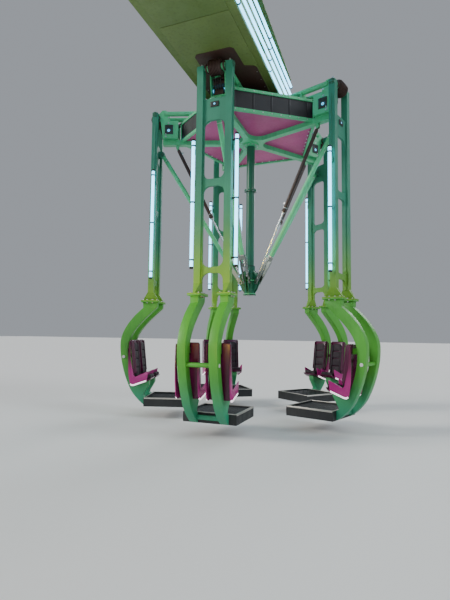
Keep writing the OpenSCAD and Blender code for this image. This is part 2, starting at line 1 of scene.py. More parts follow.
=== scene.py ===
# %% [markdown]
# # An overhanging swing ride
# A box-girder jib reaches out from a pedestal, and a spinning head hangs under its end. Five long arms with
# two-seat gondolas hang round the head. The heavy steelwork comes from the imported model. This script adds the
# paint, the lights, and the small hardware: bolts, caps, glands, tread bars, seat shells and light tubes.

# %% Load the frame
import json
import math

import bpy
from mathutils import Matrix, Vector


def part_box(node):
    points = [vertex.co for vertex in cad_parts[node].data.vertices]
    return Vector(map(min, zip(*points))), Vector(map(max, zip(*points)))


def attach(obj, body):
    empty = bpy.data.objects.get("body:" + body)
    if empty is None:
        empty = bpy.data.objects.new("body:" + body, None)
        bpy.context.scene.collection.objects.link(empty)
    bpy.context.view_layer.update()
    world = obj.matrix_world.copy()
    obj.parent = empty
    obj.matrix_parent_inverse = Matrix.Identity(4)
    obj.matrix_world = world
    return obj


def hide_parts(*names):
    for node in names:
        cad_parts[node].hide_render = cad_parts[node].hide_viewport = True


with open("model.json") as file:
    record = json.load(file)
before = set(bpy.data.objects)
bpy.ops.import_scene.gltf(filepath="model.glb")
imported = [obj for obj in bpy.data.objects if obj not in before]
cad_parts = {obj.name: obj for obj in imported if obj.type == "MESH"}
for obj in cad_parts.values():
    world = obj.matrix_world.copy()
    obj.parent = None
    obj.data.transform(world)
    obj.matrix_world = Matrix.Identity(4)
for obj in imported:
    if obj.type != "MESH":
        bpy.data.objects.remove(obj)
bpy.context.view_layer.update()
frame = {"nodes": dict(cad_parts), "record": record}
nodes = frame["nodes"]
ARMS = range(1, 6)
SIDES = (-1, 1)
DOWN = (0, 0, -1)

# %% [markdown]
# ## Camera
# The photograph was taken standing under the jib, looking out along it and a little up. The camera is placed
# by its own axes: forward comes from a heading and a pitch, and a small roll turns the picture upright. A
# track-to constraint could aim it, but it would lose the roll.

# %% Camera
PHOTO_H, FOCAL_PIXELS, SENSOR = 600.0, 440.334, 36.0
HEADING, PITCH, ROLL = math.radians(21.032), math.radians(4.501), math.radians(0.748)
EYE = (3.1152, 5.3126, 1.85)
camera_data = bpy.data.cameras.new("photo_camera")
camera_data.sensor_fit = "VERTICAL"
camera_data.sensor_height = SENSOR
camera_data.lens = SENSOR * FOCAL_PIXELS / PHOTO_H
camera_data.clip_end = 500.0
camera = bpy.data.objects.new("photo_camera", camera_data)
bpy.context.scene.collection.objects.link(camera)
level = Vector((-math.sin(HEADING), math.cos(HEADING), 0))
forward = level * math.cos(PITCH) + Vector((0, 0, math.sin(PITCH)))
flat_right = Vector((math.cos(HEADING), math.sin(HEADING), 0))
flat_up = Vector((0, 0, math.cos(PITCH))) - level * math.sin(PITCH)
right = flat_right * math.cos(ROLL) + flat_up * math.sin(ROLL)
up = flat_up * math.cos(ROLL) - flat_right * math.sin(ROLL)
turn = Matrix((right, up, -forward)).transposed().to_4x4()
camera.matrix_world = Matrix.Translation(EYE) @ turn
bpy.context.scene.camera = camera
print("camera at", EYE, "lens", round(camera_data.lens, 2))

# %% [markdown]
# ## Floor and sky
# A wide pale floor catches soft shadows and throws light back up at the undersides, which the camera sees
# most. A plain grey-blue sky fills the rest, because a picture of a sky would leave its own reflections in
# the paint.

# %% Floor and sky
def principled(name):
    """A new material with its Principled shader, ready for nodes."""
    mat = bpy.data.materials.new(name)
    mat.use_nodes = True
    return mat, mat.node_tree.nodes["Principled BSDF"]


FLOOR_SIZE, SKY_STRENGTH = 300, 0.55
bpy.ops.mesh.primitive_plane_add(size=FLOOR_SIZE, location=(0, 8, 0))
floor = bpy.context.object
floor.name = "studio_floor"
floor_mat, floor_shader = principled("pale_floor")
floor_shader.inputs["Base Color"].default_value = (0.80, 0.80, 0.78, 1)
floor_shader.inputs["Roughness"].default_value = 0.85
floor.data.materials.append(floor_mat)

world = bpy.data.worlds.new("studio_world")
bpy.context.scene.world = world
world.use_nodes = True
sky = world.node_tree.nodes["Background"]
sky.inputs["Color"].default_value = (0.60, 0.64, 0.70, 1)
sky.inputs["Strength"].default_value = SKY_STRENGTH
print("floor", FLOOR_SIZE, "m wide, sky strength", SKY_STRENGTH)

# %% [markdown]
# ## Lamps
# Three broad suns shape the round posts. One large lamp fills the side that the camera sees, and a warm spot
# below it throws yellow on the nearest arm, as the deck lights do on the real ride at night. One strong sun
# could light it all, but its shadows would be hard and the far sides black.

# %% Lamps
SPOT_CONE, SPOT_BLEND = math.radians(28), 0.9


def add_lamp(kind, name, place, aim, energy, size, colour):
    """A lamp at a place, turned to face an aim point."""
    data = bpy.data.lights.new(name, kind)
    data.energy = energy
    data.color = colour
    if kind == "SUN":
        data.angle = size
    elif kind == "SPOT":
        data.shadow_soft_size = size
        data.spot_size = SPOT_CONE
        data.spot_blend = SPOT_BLEND
    else:
        data.shape = "SQUARE"
        data.size = size
    lamp = bpy.data.objects.new(name, data)
    lamp.location = place
    lamp.rotation_euler = (Vector(aim) - Vector(place)).to_track_quat("-Z", "Y").to_euler()
    bpy.context.scene.collection.objects.link(lamp)
    print(kind, name, "power", energy)


add_lamp("SUN", "sun_left", (-18, 4, 14), (0, 15, 4), 2.4, 0.35, (1.0, 0.97, 0.92))
add_lamp("SUN", "sun_right", (20, 10, 16), (0, 12, 4), 1.2, 0.5, (0.85, 0.93, 1.0))
add_lamp("SUN", "sun_back", (6, 40, 18), (0, 12, 4), 0.9, 0.5, (0.95, 0.97, 1.0))
add_lamp("AREA", "front_fill", (3.0, -7.0, 5.0), (0, 15, 4.5), 480, 8.0, (1.0, 0.98, 0.94))
add_lamp("SPOT", "warm_spot", (0.8, 4.6, 1.2), (0.0, 12.7, 3.0), 1700, 0.4, (1.0, 0.62, 0.06))

# %% [markdown]
# ## Patterns
# Every finish is built from the same few nodes. Noise makes patches, a colour ramp sharpens them, and a mix
# lays one colour over another. The patterns read Object coordinates, in metres, so their scale is the real
# one on every piece. Painted pictures would need unwrapping, and these need none.

# %% Pattern nodes
def texture_space(tree, scale):
    """Object coordinates through a Mapping node."""
    where = tree.nodes.new("ShaderNodeTexCoord")
    mapping = tree.nodes.new("ShaderNodeMapping")
    mapping.inputs["Scale"].default_value = scale
    tree.links.new(where.outputs["Object"], mapping.inputs["Vector"])
    return mapping.outputs["Vector"]


def noise(tree, scale, detail, space):
    """A noise texture's value in a given space."""
    node = tree.nodes.new("ShaderNodeTexNoise")
    node.inputs["Scale"].default_value = scale
    node.inputs["Detail"].default_value = detail
    tree.links.new(space, node.inputs["Vector"])
    return node.outputs["Fac"]


def grey(value):
    """An opaque grey."""
    return (value, value, value, 1)


def ramp(tree, value, low, high, low_colour=grey(0), high_colour=grey(1)):
    """A colour ramp between two stops."""
    node = tree.nodes.new("ShaderNodeValToRGB")
    node.color_ramp.elements[0].position = low
    node.color_ramp.elements[1].position = high
    node.color_ramp.elements[0].color = low_colour
    node.color_ramp.elements[1].color = high_colour
    tree.links.new(value, node.inputs["Fac"])
    return node.outputs["Color"]


# %% Mixing and fading nodes
FIRST, SECOND, MIXED = 6, 7, 2  # the colour sockets of a Mix node


def mix(tree, fac, first, second, blend="MIX"):
    """Mix two colours; each may be a socket or a plain colour."""
    node = tree.nodes.new("ShaderNodeMix")
    node.data_type = "RGBA"
    node.blend_type = blend
    sockets = node.inputs["Factor"], node.inputs[FIRST], node.inputs[SECOND]
    for socket, value in zip(sockets, (fac, first, second)):
        if isinstance(value, bpy.types.NodeSocket):
            tree.links.new(value, socket)
        else:
            socket.default_value = value
    return node.outputs[MIXED]


def shade(colour, k=1.0):
    """A colour with its alpha, made lighter or darker."""
    return tuple(min(1.0, c * k) for c in colour[:3]) + (1,)


def remap(tree, value, low, high):
    """A value from 0 to 1 spread between two others."""
    node = tree.nodes.new("ShaderNodeMapRange")
    node.inputs["To Min"].default_value = low
    node.inputs["To Max"].default_value = high
    tree.links.new(value, node.inputs["Value"])
    return node.outputs["Result"]


def height_fade(tree, low_z, high_z):
    """0 below low_z and 1 above high_z, by the piece's own height."""
    where = tree.nodes.new("ShaderNodeTexCoord")
    split = tree.nodes.new("ShaderNodeSeparateXYZ")
    fade = tree.nodes.new("ShaderNodeMapRange")
    fade.interpolation_type = "SMOOTHSTEP"
    fade.inputs["From Min"].default_value = low_z
    fade.inputs["From Max"].default_value = high_z
    tree.links.new(where.outputs["Object"], split.inputs["Vector"])
    tree.links.new(split.outputs["Z"], fade.inputs["Value"])
    return fade.outputs["Result"]


# %% [markdown]
# ## Machine paint
# Painted steel is never one flat colour. Each coat gets broad fading, thin streaks of grime that run down the
# steel, small chips that show primer, uneven gloss and a faint orange-peel bump. The posts and claws also
# fade from one colour at the top to another at the foot.

# %% Machine paint
PRIMER = (0.30, 0.31, 0.30)
RUNS_DOWN = (9, 9, 0.7)
PATCHES, STREAKS, MOTTLE, CHIPS, PEEL = 0.9, 2.2, 6, 34, 90  # how fine each pattern is


def paint(name, colour, gloss=0.32, wear=0.5, low_colour=None, fade=(2.6, 6.9)):
    """A coat of machine paint; low_colour, if given, is the colour at the piece's foot."""
    mat, shader = principled(name)
    tree = mat.node_tree
    space = texture_space(tree, (1, 1, 1))
    tall = texture_space(tree, RUNS_DOWN)
    base = shade(colour)
    if low_colour:
        base = mix(tree, height_fade(tree, *fade), shade(low_colour), base)
    broad = ramp(tree, noise(tree, PATCHES, 3, space), 0.35, 0.7, grey(0.80), grey(1.08))
    base = mix(tree, 1.0, base, broad, "MULTIPLY")
    streak = ramp(tree, noise(tree, STREAKS, 5, tall), 0.50, 0.78, grey(0), grey(wear))
    base = mix(tree, streak, base, shade(colour, 0.42))
    chip = ramp(tree, noise(tree, CHIPS, 6, space), 0.735, 0.75, grey(0), grey(wear))
    base = mix(tree, chip, base, shade(PRIMER))
    tree.links.new(base, shader.inputs["Base Color"])
    rough = remap(tree, noise(tree, MOTTLE, 4, space), gloss * 0.75, min(1.0, gloss * 1.6))
    tree.links.new(rough, shader.inputs["Roughness"])
    bump = tree.nodes.new("ShaderNodeBump")
    bump.inputs["Strength"].default_value = 0.12
    bump.inputs["Distance"].default_value = 0.002
    tree.links.new(noise(tree, PEEL, 3, space), bump.inputs["Height"])
    tree.links.new(bump.outputs["Normal"], shader.inputs["Normal"])
    return mat


# %% [markdown]
# ## Bare steel and lit tubes
# Rods and bolts are bare or plated steel. Stretched noise draws fine lines along them and makes their gloss
# uneven. A lit tube is a white plastic diffuser with a lamp in it, so its colour also drives its emission.

# %% Steel and glow
def steel(name, colour, roughness, scratch=(3, 3, 40)):
    """Bare or plated steel with fine drawn lines and uneven gloss."""
    mat, shader = principled(name)
    tree = mat.node_tree
    shader.inputs["Metallic"].default_value = 1.0
    lines = noise(tree, 12, 6, texture_space(tree, scratch))
    tone = ramp(tree, lines, 0.3, 0.75, shade(colour, 0.78), shade(colour))
    tree.links.new(tone, shader.inputs["Base Color"])
    tree.links.new(remap(tree, lines, roughness * 0.7, roughness * 1.5), shader.inputs["Roughness"])
    return mat


def glow(name, colour, strength):
    """A glowing finish with faint bands along it, for lit diffusers and for a painted highlight."""
    mat, shader = principled(name)
    tree = mat.node_tree
    drift = noise(tree, 3, 2, texture_space(tree, (1, 1, 6)))
    bands = ramp(tree, drift, 0.2, 0.8, shade(colour, 0.86), shade(colour))
    tree.links.new(bands, shader.inputs["Base Color"])
    tree.links.new(bands, shader.inputs["Emission Color"])
    shader.inputs["Emission Strength"].default_value = strength
    shader.inputs["Roughness"].default_value = 0.35
    return mat


# %% [markdown]
# ## Finishes
# The jib is a dull olive and the head a fresh mint. The posts fade from blue-green at the top to yellow-green
# at the foot. This fade is painted light: the yellow-green stands for warm lamps below and the blue-green for
# the cyan glow of the tubes. The claws are lime. The soffit and seat shells are magenta, and the fascia nearly
# black.
# Each slot of the plain model gets its finish here, and the new pieces get a few of their own.

# %% Finishes
MINT = (0.090, 0.560, 0.250)
COATS = {
    "graphite_paint": ((0.030, 0.036, 0.034), 0.45, 0.35),
    "jib_olive": ((0.125, 0.190, 0.045), 0.46, 0.55),
    "head_mint": (MINT, 0.30, 0.35),
    # The posts' fade from blue-green to yellow-green at the foot is painted light, from warm lamps below and
    # the tubes' cyan glow.
    "post_green": ((0.028, 0.235, 0.145), 0.44, 0.30, (0.160, 0.370, 0.020), (2.6, 4.3)),
    "claw_lime": ((0.070, 0.360, 0.030), 0.40, 0.25, (0.020, 0.280, 0.150), (0.3, 1.3)),
    "fascia_black": ((0.010, 0.009, 0.012), 0.40, 0.30),
    "soffit_pink": ((0.500, 0.055, 0.225), 0.38, 0.30),
    "seat_magenta": ((0.380, 0.012, 0.170), 0.16, 0.12),
    "floor_dark": ((0.018, 0.020, 0.022), 0.50, 0.40),
    "drum_brown": ((0.050, 0.022, 0.016), 0.50, 0.45),
    "cylinder_brown": ((0.040, 0.016, 0.012), 0.35, 0.35),
    "gear_grey": ((0.060, 0.066, 0.064), 0.42, 0.45),
}
FINISH = {slot: paint(slot, *coat) for slot, coat in COATS.items()}
FINISH["rod_steel"] = steel("rod_steel", (0.62, 0.63, 0.64), 0.14)
FINISH["light_tube"] = glow("light_tube", (0.20, 0.66, 1.0), 5.0)
ZINC = steel("zinc_plate", (0.55, 0.56, 0.57), 0.34, (8, 8, 8))
# Near white: on the cross tube caps this is a painted highlight.
CAP_WHITE = paint("cap_white", (0.72, 0.74, 0.72), 0.25, 0.15)
CAP_GREEN = paint("cap_green", (0.030, 0.150, 0.085), 0.40, 0.35)
LAMP = glow("hole_lamp", (0.10, 0.55, 0.90), 1.3)
# A glowing strip that is a painted highlight along each seat's foot.
EDGE_HIGHLIGHT_GLOW = glow("painted_edge_highlight", (1.0, 0.88, 0.96), 1.6)
COLUMN = paint("column_green", (0.012, 0.140, 0.075), 0.30, 0.35)
# Painted shade: the seat moulding is magenta, and the plum of the buckets and of the wings' upper part stands
# for the shade they lie in.
SHADED_WING = paint("wing_magenta_painted_shade", (0.120, 0.008, 0.050), 0.16, 0.12, (0.420, 0.014, 0.200), (0.98, 1.36))
SHADED_PLUM = paint("seat_plum_painted_shade", (0.085, 0.006, 0.040), 0.20, 0.15)
LINER = paint("seat_liner", (0.022, 0.010, 0.018), 0.58, 0.12)
RUBBER = paint("black_rubber", (0.012, 0.012, 0.013), 0.62, 0.10)
TRIM = steel("trim_alloy", (0.62, 0.60, 0.55), 0.38, (8, 8, 8))
SLOT = {part["node"]: part["material_slot"] for part in frame["record"]["subparts"]}
for name, node in nodes.items():
    node.data.materials.clear()
    node.data.materials.append(FINISH[SLOT[name]])
print("finishes", len(FINISH), "nodes painted", len(SLOT))

# %% [markdown]
# ## Two-tone struts
# Each strut is a mint tube with a bright steel fork at its foot. One material holds both finishes and changes
# over at the fork's collar, by height on the piece, so the mesh needs no cut.

# %% Strut finish
COLLAR_Z, CHANGE = 3.60, 0.004


def two_tone(name, colour, metal, z):
    """Paint above a height and bare steel below it."""
    mat = paint(name, colour, 0.28, 0.3)
    tree = mat.node_tree
    shader = tree.nodes["Principled BSDF"]
    above = height_fade(tree, z - CHANGE, z + CHANGE)
    painted = shader.inputs["Base Color"].links[0].from_socket
    tree.links.new(mix(tree, above, shade(metal), painted), shader.inputs["Base Color"])
    tree.links.new(remap(tree, above, 1.0, 0.0), shader.inputs["Metallic"])
    return mat


STRUT = two_tone("strut_paint", MINT, (0.26, 0.29, 0.27), COLLAR_Z)
for k in ARMS:
    nodes[f"strut_{k}"].data.materials[0] = STRUT
for name in ("column", "runner"):
    nodes[name].data.materials[0] = COLUMN
print("struts change finish at", COLLAR_Z)

# %% [markdown]
# ## Helpers for new pieces
# A piece is modelled once, near the origin of the arm or ring that it belongs to, then copied with its own
# mesh to each place. The place goes into the mesh, so that every object sits at the origin, as the CAD nodes
# do. An operator acts on all that is selected, so each helper first selects its own piece alone.

# %% Selecting, placing and applying
def deselect():
    bpy.ops.object.select_all(action="DESELECT")


def pick(obj):
    """Make an object the only one selected, and the active one."""
    deselect()
    obj.select_set(True)
    bpy.context.view_layer.objects.active = obj
    return obj


def new_object(data):
    """An object for a mesh or a curve, picked and in the scene."""
    obj = bpy.data.objects.new(data.name, data)
    bpy.context.scene.collection.objects.link(obj)
    return pick(obj)


def at(place, axis=(0, 0, 1)):
    """A matrix that stands a pattern on a place, pointing along an axis."""
    lean = Vector((0, 0, 1)).rotation_difference(Vector(axis)).to_matrix().to_4x4()
    return Matrix.Translation(place) @ lean


def apply_modifiers(obj):
    """Apply every modifier and point the faces outwards."""
    pick(obj)
    for modifier in list(obj.modifiers):
        bpy.ops.object.modifier_apply(modifier=modifier.name)
    bpy.ops.object.mode_set(mode="EDIT")
    bpy.ops.mesh.select_all(action="SELECT")
    bpy.ops.mesh.normals_make_consistent(inside=False)
    bpy.ops.object.mode_set(mode="OBJECT")
    return obj


# %% [markdown]
# ## Cylinders, blocks and rings
# Turned parts start as a cylinder whose two rims are bevelled in edit mode, and plates start as a bevelled
# cube. A ring is an open circle that is extruded outwards and thickened. A torus or a boolean could give a
# ring too, but a thickened circle keeps flat sides and few faces.

# %% Cylinders and blocks
def bevel_selected(width):
    """Bevel the selected edges of the mesh in edit mode, then leave edit mode."""
    bpy.ops.mesh.bevel(offset=width, segments=2, affect="EDGES")
    bpy.ops.object.mode_set(mode="OBJECT")


def cylinder(radius, depth, place, axis=(0, 0, 1), sides=24, bevel=0.0):
    """A cylinder centred on a place, along an axis, with its two rims bevelled."""
    deselect()
    bpy.ops.mesh.primitive_cylinder_add(vertices=sides, radius=radius, depth=depth)
    obj = bpy.context.object
    if bevel:
        bpy.ops.object.mode_set(mode="EDIT")
        bpy.ops.mesh.select_all(action="DESELECT")
        bpy.ops.object.mode_set(mode="OBJECT")
        for edge in obj.data.edges:
            a, b = (obj.data.vertices[i].co for i in edge.vertices)
            edge.select = abs(a.z - b.z) < 1e-6  # only a rim's edges are level
        bpy.ops.object.mode_set(mode="EDIT")
        bpy.ops.mesh.select_mode(type="EDGE")
        bevel_selected(bevel)
    obj.data.transform(at(place, axis))
    return obj


def block(size, place, bevel):
    """A bevelled box centred on a place."""
    deselect()
    bpy.ops.mesh.primitive_cube_add(size=1)
    obj = bpy.context.object
    obj.data.transform(Matrix.Diagonal((*size, 1)))
    bpy.ops.object.mode_set(mode="EDIT")
    bpy.ops.mesh.select_all(action="SELECT")
    bevel_selected(bevel)
    obj.data.transform(Matrix.Translation(place))
    return obj


def round_edges(obj, width, segments=2, angle=30):
    """A live bevel on the edges that are sharper than an angle."""
    edge = obj.modifiers.new("edge", "BEVEL")
    edge.width = width
    edge.segments = segments
    edge.limit_method = "ANGLE"
    edge.angle_limit = math.radians(angle)


# %% Rings
def ring(inner, outer, thick, place, axis=(0, 0, 1), sides=48):
    """A flat ring, from an open circle that is filled out, thickened and bevelled."""
    deselect()
    bpy.ops.mesh.primitive_circle_add(vertices=sides, radius=inner)
    obj = bpy.context.object
    bpy.ops.object.mode_set(mode="EDIT")
    bpy.ops.mesh.extrude_region_move()
    bpy.ops.transform.resize(value=(outer / inner,) * 3)
    bpy.ops.object.mode_set(mode="OBJECT")
    wall = obj.modifiers.new("wall", "SOLIDIFY")
    wall.thickness = thick
    wall.offset = 0
    round_edges(obj, min(thick, outer - inner) * 0.18)
    apply_modifiers(obj)
    obj.data.transform(at(place, axis))
    return obj


# %% [markdown]
# ## Joining, copying and fixing on
# Small parts of one piece are joined into one mesh. A finished piece then gets its name, its finish and the
# body that carries it, and its round sides are smoothed by angle so that its flat faces stay crisp.

# %% Joining, copying and fixing on
def join(parts):
    """Join parts into one mesh object."""
    pick(parts[0])
    for part in parts:
        part.select_set(True)
    if len(parts) > 1:
        bpy.ops.object.join()
    return parts[0]


def twin_of(pattern, matrix):
    """A copy of a pattern with its own mesh, moved by a matrix."""
    twin = pattern.copy()
    twin.data = pattern.data.copy()
    twin.data.transform(matrix)
    bpy.context.scene.collection.objects.link(twin)
    return twin


def copies(pattern, matrices):
    """Copies of a pattern at each matrix, joined into one object. The pattern is used up."""
    made = [twin_of(pattern, matrix) for matrix in matrices]
    bpy.data.objects.remove(pattern)
    return join(made)


CRISP = math.radians(40)  # edges sharper than this stay crisp


def fix(obj, name, body, slot, mat=None, stands_for=()):
    """Name a finished piece and put it on its body, in its slot's own finish unless another is given."""
    pick(obj)
    bpy.ops.object.shade_smooth_by_angle(angle=CRISP)
    obj.name = name
    obj.data.materials.clear()
    obj.data.materials.append(mat or FINISH[slot])
    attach(obj, body)
    if stands_for:
        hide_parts(*stands_for)
    print(name, "on", body, "faces", len(obj.data.polygons))


# %% [markdown]
# ## Bolts
# A hexagon bolt head on a washer is the smallest thing that shows on such a ride, and there are hundreds. The
# head is a six-sided prism whose rims are chamfered, the washer is a thin disc, and a stub of thread stands
# above. A real thread would cost thousands of faces and never be seen.

# %% Bolt pattern
def bolt(size):
    """A bolt head of a given width across corners, standing on z = 0, pointing up."""
    washer = cylinder(size * 0.72, size * 0.10, (0, 0, size * 0.05), sides=14)
    head = cylinder(size * 0.5, size * 0.38, (0, 0, size * 0.29), sides=6, bevel=size * 0.05)
    stud = cylinder(size * 0.22, size * 0.20, (0, 0, size * 0.56), sides=8)
    return join([washer, head, stud])


def bolts(size, spots):
    """A bolt at each matrix, as one object."""
    return copies(bolt(size), spots)


def bolt_on(size, spots, name, body):
    """A zinc bolt at each matrix, as a finished piece."""
    fix(bolts(size, spots), name, body, "rod_steel", ZINC)


def evenly(count, step):
    """Numbers in an even row about zero."""
    return [step * (i - (count - 1) / 2) for i in range(count)]


def circle_of(count, radius, z, centre=(0, 0), start=0.0, axis=(0, 0, 1)):
    """Matrices round a bolt circle."""
    turns = [start + 2 * math.pi * i / count for i in range(count)]
    return [at((centre[0] + radius * math.cos(a), centre[1] + radius * math.sin(a), z), axis) for a in turns]


# %% [markdown]
# ## Arm space
# All five arms are alike. Their hardware is modelled in arm space, where x runs outward from the head's axis
# and y across the arm, and a matrix then turns it to each arm's place.

# %% Arm space
REACH, FIFTH = 15.0, 72
HEAD_AXIS = (0, REACH)


def about_head(degrees):
    """A turn about the head's axis, from a space whose origin is on that axis."""
    return Matrix.Translation((0, REACH, 0)) @ Matrix.Rotation(math.radians(degrees), 4, "Z")


def arm_matrix(k):
    """From arm space to the ride."""
    return about_head(-90 + FIFTH * (k - 1))


def on_arms(pattern, name, slot, mat=None, body="arm_{}", stands_for=""):
    """A copy of a pattern at each arm's place. The names hold {} where the arm's number goes."""
    for k in ARMS:
        old = (stands_for.format(k),) if stands_for else ()
        fix(twin_of(pattern, arm_matrix(k)), name.format(k), body.format(k), slot, mat, old)
    bpy.data.objects.remove(pattern)


print("the head's axis stands at y", REACH, "with arms every", FIFTH, "degrees")

# %% [markdown]
# ## The arm's sizes
# A few sizes place nearly everything on an arm: its pivot, its posts, the flange between post and claw, the
# lever's pin and the tube between the claws. They are the plain model's own, so the hardware lands on it.

# %% The arm's sizes
ARM_R, PIVOT_Z = 2.240, 6.955
FLANGE_Z, FLANGE_T = PIVOT_Z - 4.375, 0.025
POST_Y, POST_FACE = 0.295, 0.360
LEVER = (ARM_R - 0.130, PIVOT_Z - 0.835)
CROSS_OUT, CROSS_DROP = 0.5625, 1.250
CROSS = (ARM_R + CROSS_OUT, FLANGE_Z - CROSS_DROP)
print("flange at", round(FLANGE_Z, 3), "lever pin at", [round(v, 3) for v in LEVER])

# %% [markdown]
# ## Flange bolts
# Each post bolts to its claw through a flange. Bolts stand along all four of its edges, and their nuts show
# below where the claw leaves room. Separate heads that sit on the plate look the same as ones cut into it.

# %% Flange bolts
places = [(ARM_R + x, s * POST_Y + y) for s in SIDES for x in (-0.155, 0.155) for y in (-0.085, 0, 0.085)]
places += [(ARM_R + x, s * POST_Y + y) for s in SIDES for x in (-0.06, 0.06) for y in (-0.1, 0.1)]
spots = [at((x, y, FLANGE_Z + FLANGE_T)) for x, y in places]
spots += [at((x, y, FLANGE_Z - FLANGE_T), DOWN) for x, y in places if abs(abs(y) - POST_Y) > 0.09]
on_arms(bolts(0.034, spots), "arm_{}_flange_bolts", "rod_steel", ZINC)

# %% [markdown]
# ## Pin caps
# A pin through each post's top hangs the arm, and a smaller one holds the strut's lever. Round caps close
# both. A spin could draw a cap's whole profile, but two stacked discs with bevelled rims are quicker, and the
# four screws show that it comes off for greasing.

# %% Pin caps
def pin_cap(radius, place, side):
    """A bevelled cap with a raised boss and four screws, facing out along y."""
    x, y, z = place
    out = (0, side, 0)
    parts = [cylinder(radius, 0.016, (x, y + side * 0.008, z), out, 28, 0.003),
             cylinder(radius * 0.55, 0.014, (x, y + side * 0.022, z), out, 24, 0.004)]
    screw_r = radius * 0.76
    turns = [math.pi * (0.25 + 0.5 * i) for i in range(4)]
    spots = [at((x + screw_r * math.cos(a), y + side * 0.016, z + screw_r * math.sin(a)), out) for a in turns]
    parts.append(bolts(radius * 0.26, spots))
    return join(parts)


caps = [pin_cap(0.060, (ARM_R, s * POST_FACE, PIVOT_Z), s) for s in SIDES]
caps += [pin_cap(0.046, (LEVER[0], s * 0.071, LEVER[1]), s) for s in SIDES]
on_arms(join(caps), "arm_{}_pin_caps", "post_green", CAP_GREEN)

# %% [markdown]
# ## Lifting eyes
# A crane lifts each arm by two eye bolts on top of its posts. An eye is a base disc, a short neck and an
# upright ring. A spun circle could make it in one, but three turned parts keep the crisp steps of a forged
# eye.

# %% Lifting eyes
EYE_Z = PIVOT_Z + 0.055
eyes = []
for s in SIDES:
    eyes.append(cylinder(0.026, 0.012, (ARM_R, s * POST_Y, EYE_Z), sides=20, bevel=0.003))
    eyes.append(cylinder(0.015, 0.022, (ARM_R, s * POST_Y, EYE_Z + 0.013), sides=16, bevel=0.003))
    eyes.append(ring(0.014, 0.028, 0.014, (ARM_R, s * POST_Y, EYE_Z + 0.045), (0, 1, 0), 28))
on_arms(join(eyes), "arm_{}_lifting_eyes", "rod_steel", ZINC)

# %% [markdown]
# ## Cross tube caps
# The tube between the claws is closed by a cap on each outer side. The cap is painted near white as a painted
# highlight, for the glint it catches. Only its face and rim are seen, so a short bevelled cylinder is enough.

# %% Cross tube caps
caps = [cylinder(0.034, 0.006, (CROSS[0], s * 0.385, CROSS[1]), (0, s, 0), 24, 0.002) for s in SIDES]
# The caps' near white is a painted highlight.
on_arms(join(caps), "arm_{}_tube_caps", "claw_lime", CAP_WHITE)

# %% [markdown]
# ## Plate lamps
# A small lamp looks out of the plate between the posts' tops. Its housing is a dark block with a rim and four
# ribs that shed heat, and the lens is a rounded disc in the rim. Insets in one box could give all this, but
# separate bevelled parts cast the thin shadow lines of bolted ones.

# %% Plate lamps
PLATE_LAMP_Z = 6.215
parts = [block((0.014, 0.170, 0.105), (ARM_R + 0.031, 0, PLATE_LAMP_Z), 0.004),
         ring(0.020, 0.034, 0.012, (ARM_R + 0.039, 0, PLATE_LAMP_Z), (1, 0, 0), 28)]
for y in (-0.068, -0.052, 0.052, 0.068):
    parts.append(block((0.010, 0.014, 0.080), (ARM_R + 0.040, y, PLATE_LAMP_Z), 0.002))
on_arms(join(parts), "arm_{}_plate_housing", "graphite_paint")
lens = cylinder(0.019, 0.022, (ARM_R + 0.036, 0, PLATE_LAMP_Z), (1, 0, 0), 24, 0.004)
on_arms(lens, "arm_{}_plate_lamp", "light_tube", LAMP)

# %% [markdown]
# ## Light tubes
# A lit tube stands off each post. The diffuser is a smooth tube with rounded ends, and black end caps and
# clips hold it. The clips reach from the post's side to the tube, as the plain model's arms do. A lamp inside
# a clear tube would be truer and far noisier, so the diffuser itself glows.

# %% Light tubes
TUBE_X, TUBE_Y, TUBE_LOW, TUBE_LEN = ARM_R - 0.010, POST_Y + 0.150, FLANGE_Z + 0.500, 2.520
TUBE_MID, CLIP_LEN = TUBE_LOW + TUBE_LEN / 2, TUBE_Y - POST_FACE
tubes, parts = [], []
for s in SIDES:
    tubes.append(cylinder(0.033, TUBE_LEN - 0.06, (TUBE_X, s * TUBE_Y, TUBE_MID), sides=28, bevel=0.008))
    for z in (TUBE_LOW + 0.02, TUBE_LOW + TUBE_LEN - 0.02):
        parts.append(cylinder(0.035, 0.04, (TUBE_X, s * TUBE_Y, z), sides=28, bevel=0.004))
    for z in (TUBE_LOW + 0.17, TUBE_MID + 0.02, TUBE_LOW + TUBE_LEN - 0.13):
        parts.append(cylinder(0.0385, 0.030, (TUBE_X, s * TUBE_Y, z), sides=28, bevel=0.003))
        parts.append(block((0.022, CLIP_LEN, 0.030), (TUBE_X, s * (POST_FACE + CLIP_LEN / 2), z), 0.003))
on_arms(join(tubes), "arm_{}_light_tubes", "light_tube", stands_for="arm_{}_lights")
on_arms(join(parts), "arm_{}_tube_clips", "fascia_black", RUBBER)

# %% [markdown]
# ## Conduits
# A thin conduit brings each tube its power down the post's side. Saddles hold it, and it ends in a small box.
# It runs straight, so it needs no curve, and its ends hide in the post's shadow, so they need no bevel.

# %% Conduits
CONDUIT_MID, SADDLE_STEP = 6.05, 0.50
parts = []
for s in SIDES:
    parts.append(cylinder(0.009, 1.300, (TUBE_X, s * (POST_FACE + 0.010), CONDUIT_MID), sides=10))
    for z in evenly(3, SADDLE_STEP):
        parts.append(block((0.034, 0.012, 0.020), (TUBE_X, s * (POST_FACE + 0.007), CONDUIT_MID + z), 0.002))
    parts.append(block((0.070, 0.040, 0.110), (TUBE_X, s * (POST_FACE + 0.020), CONDUIT_MID - 0.72), 0.006))
on_arms(join(parts), "arm_{}_conduits", "post_green")

# %% [markdown]
# ## Outlines and curves
# Moulded and flame-cut parts are drawn from the side. An outline of (x, z) points becomes one face, which is
# extruded across the arm and rounded with a bevel modifier, as a mould or a grinder would leave it. Long
# bends come from a cubic curve, so that a few driving points give a smooth line.

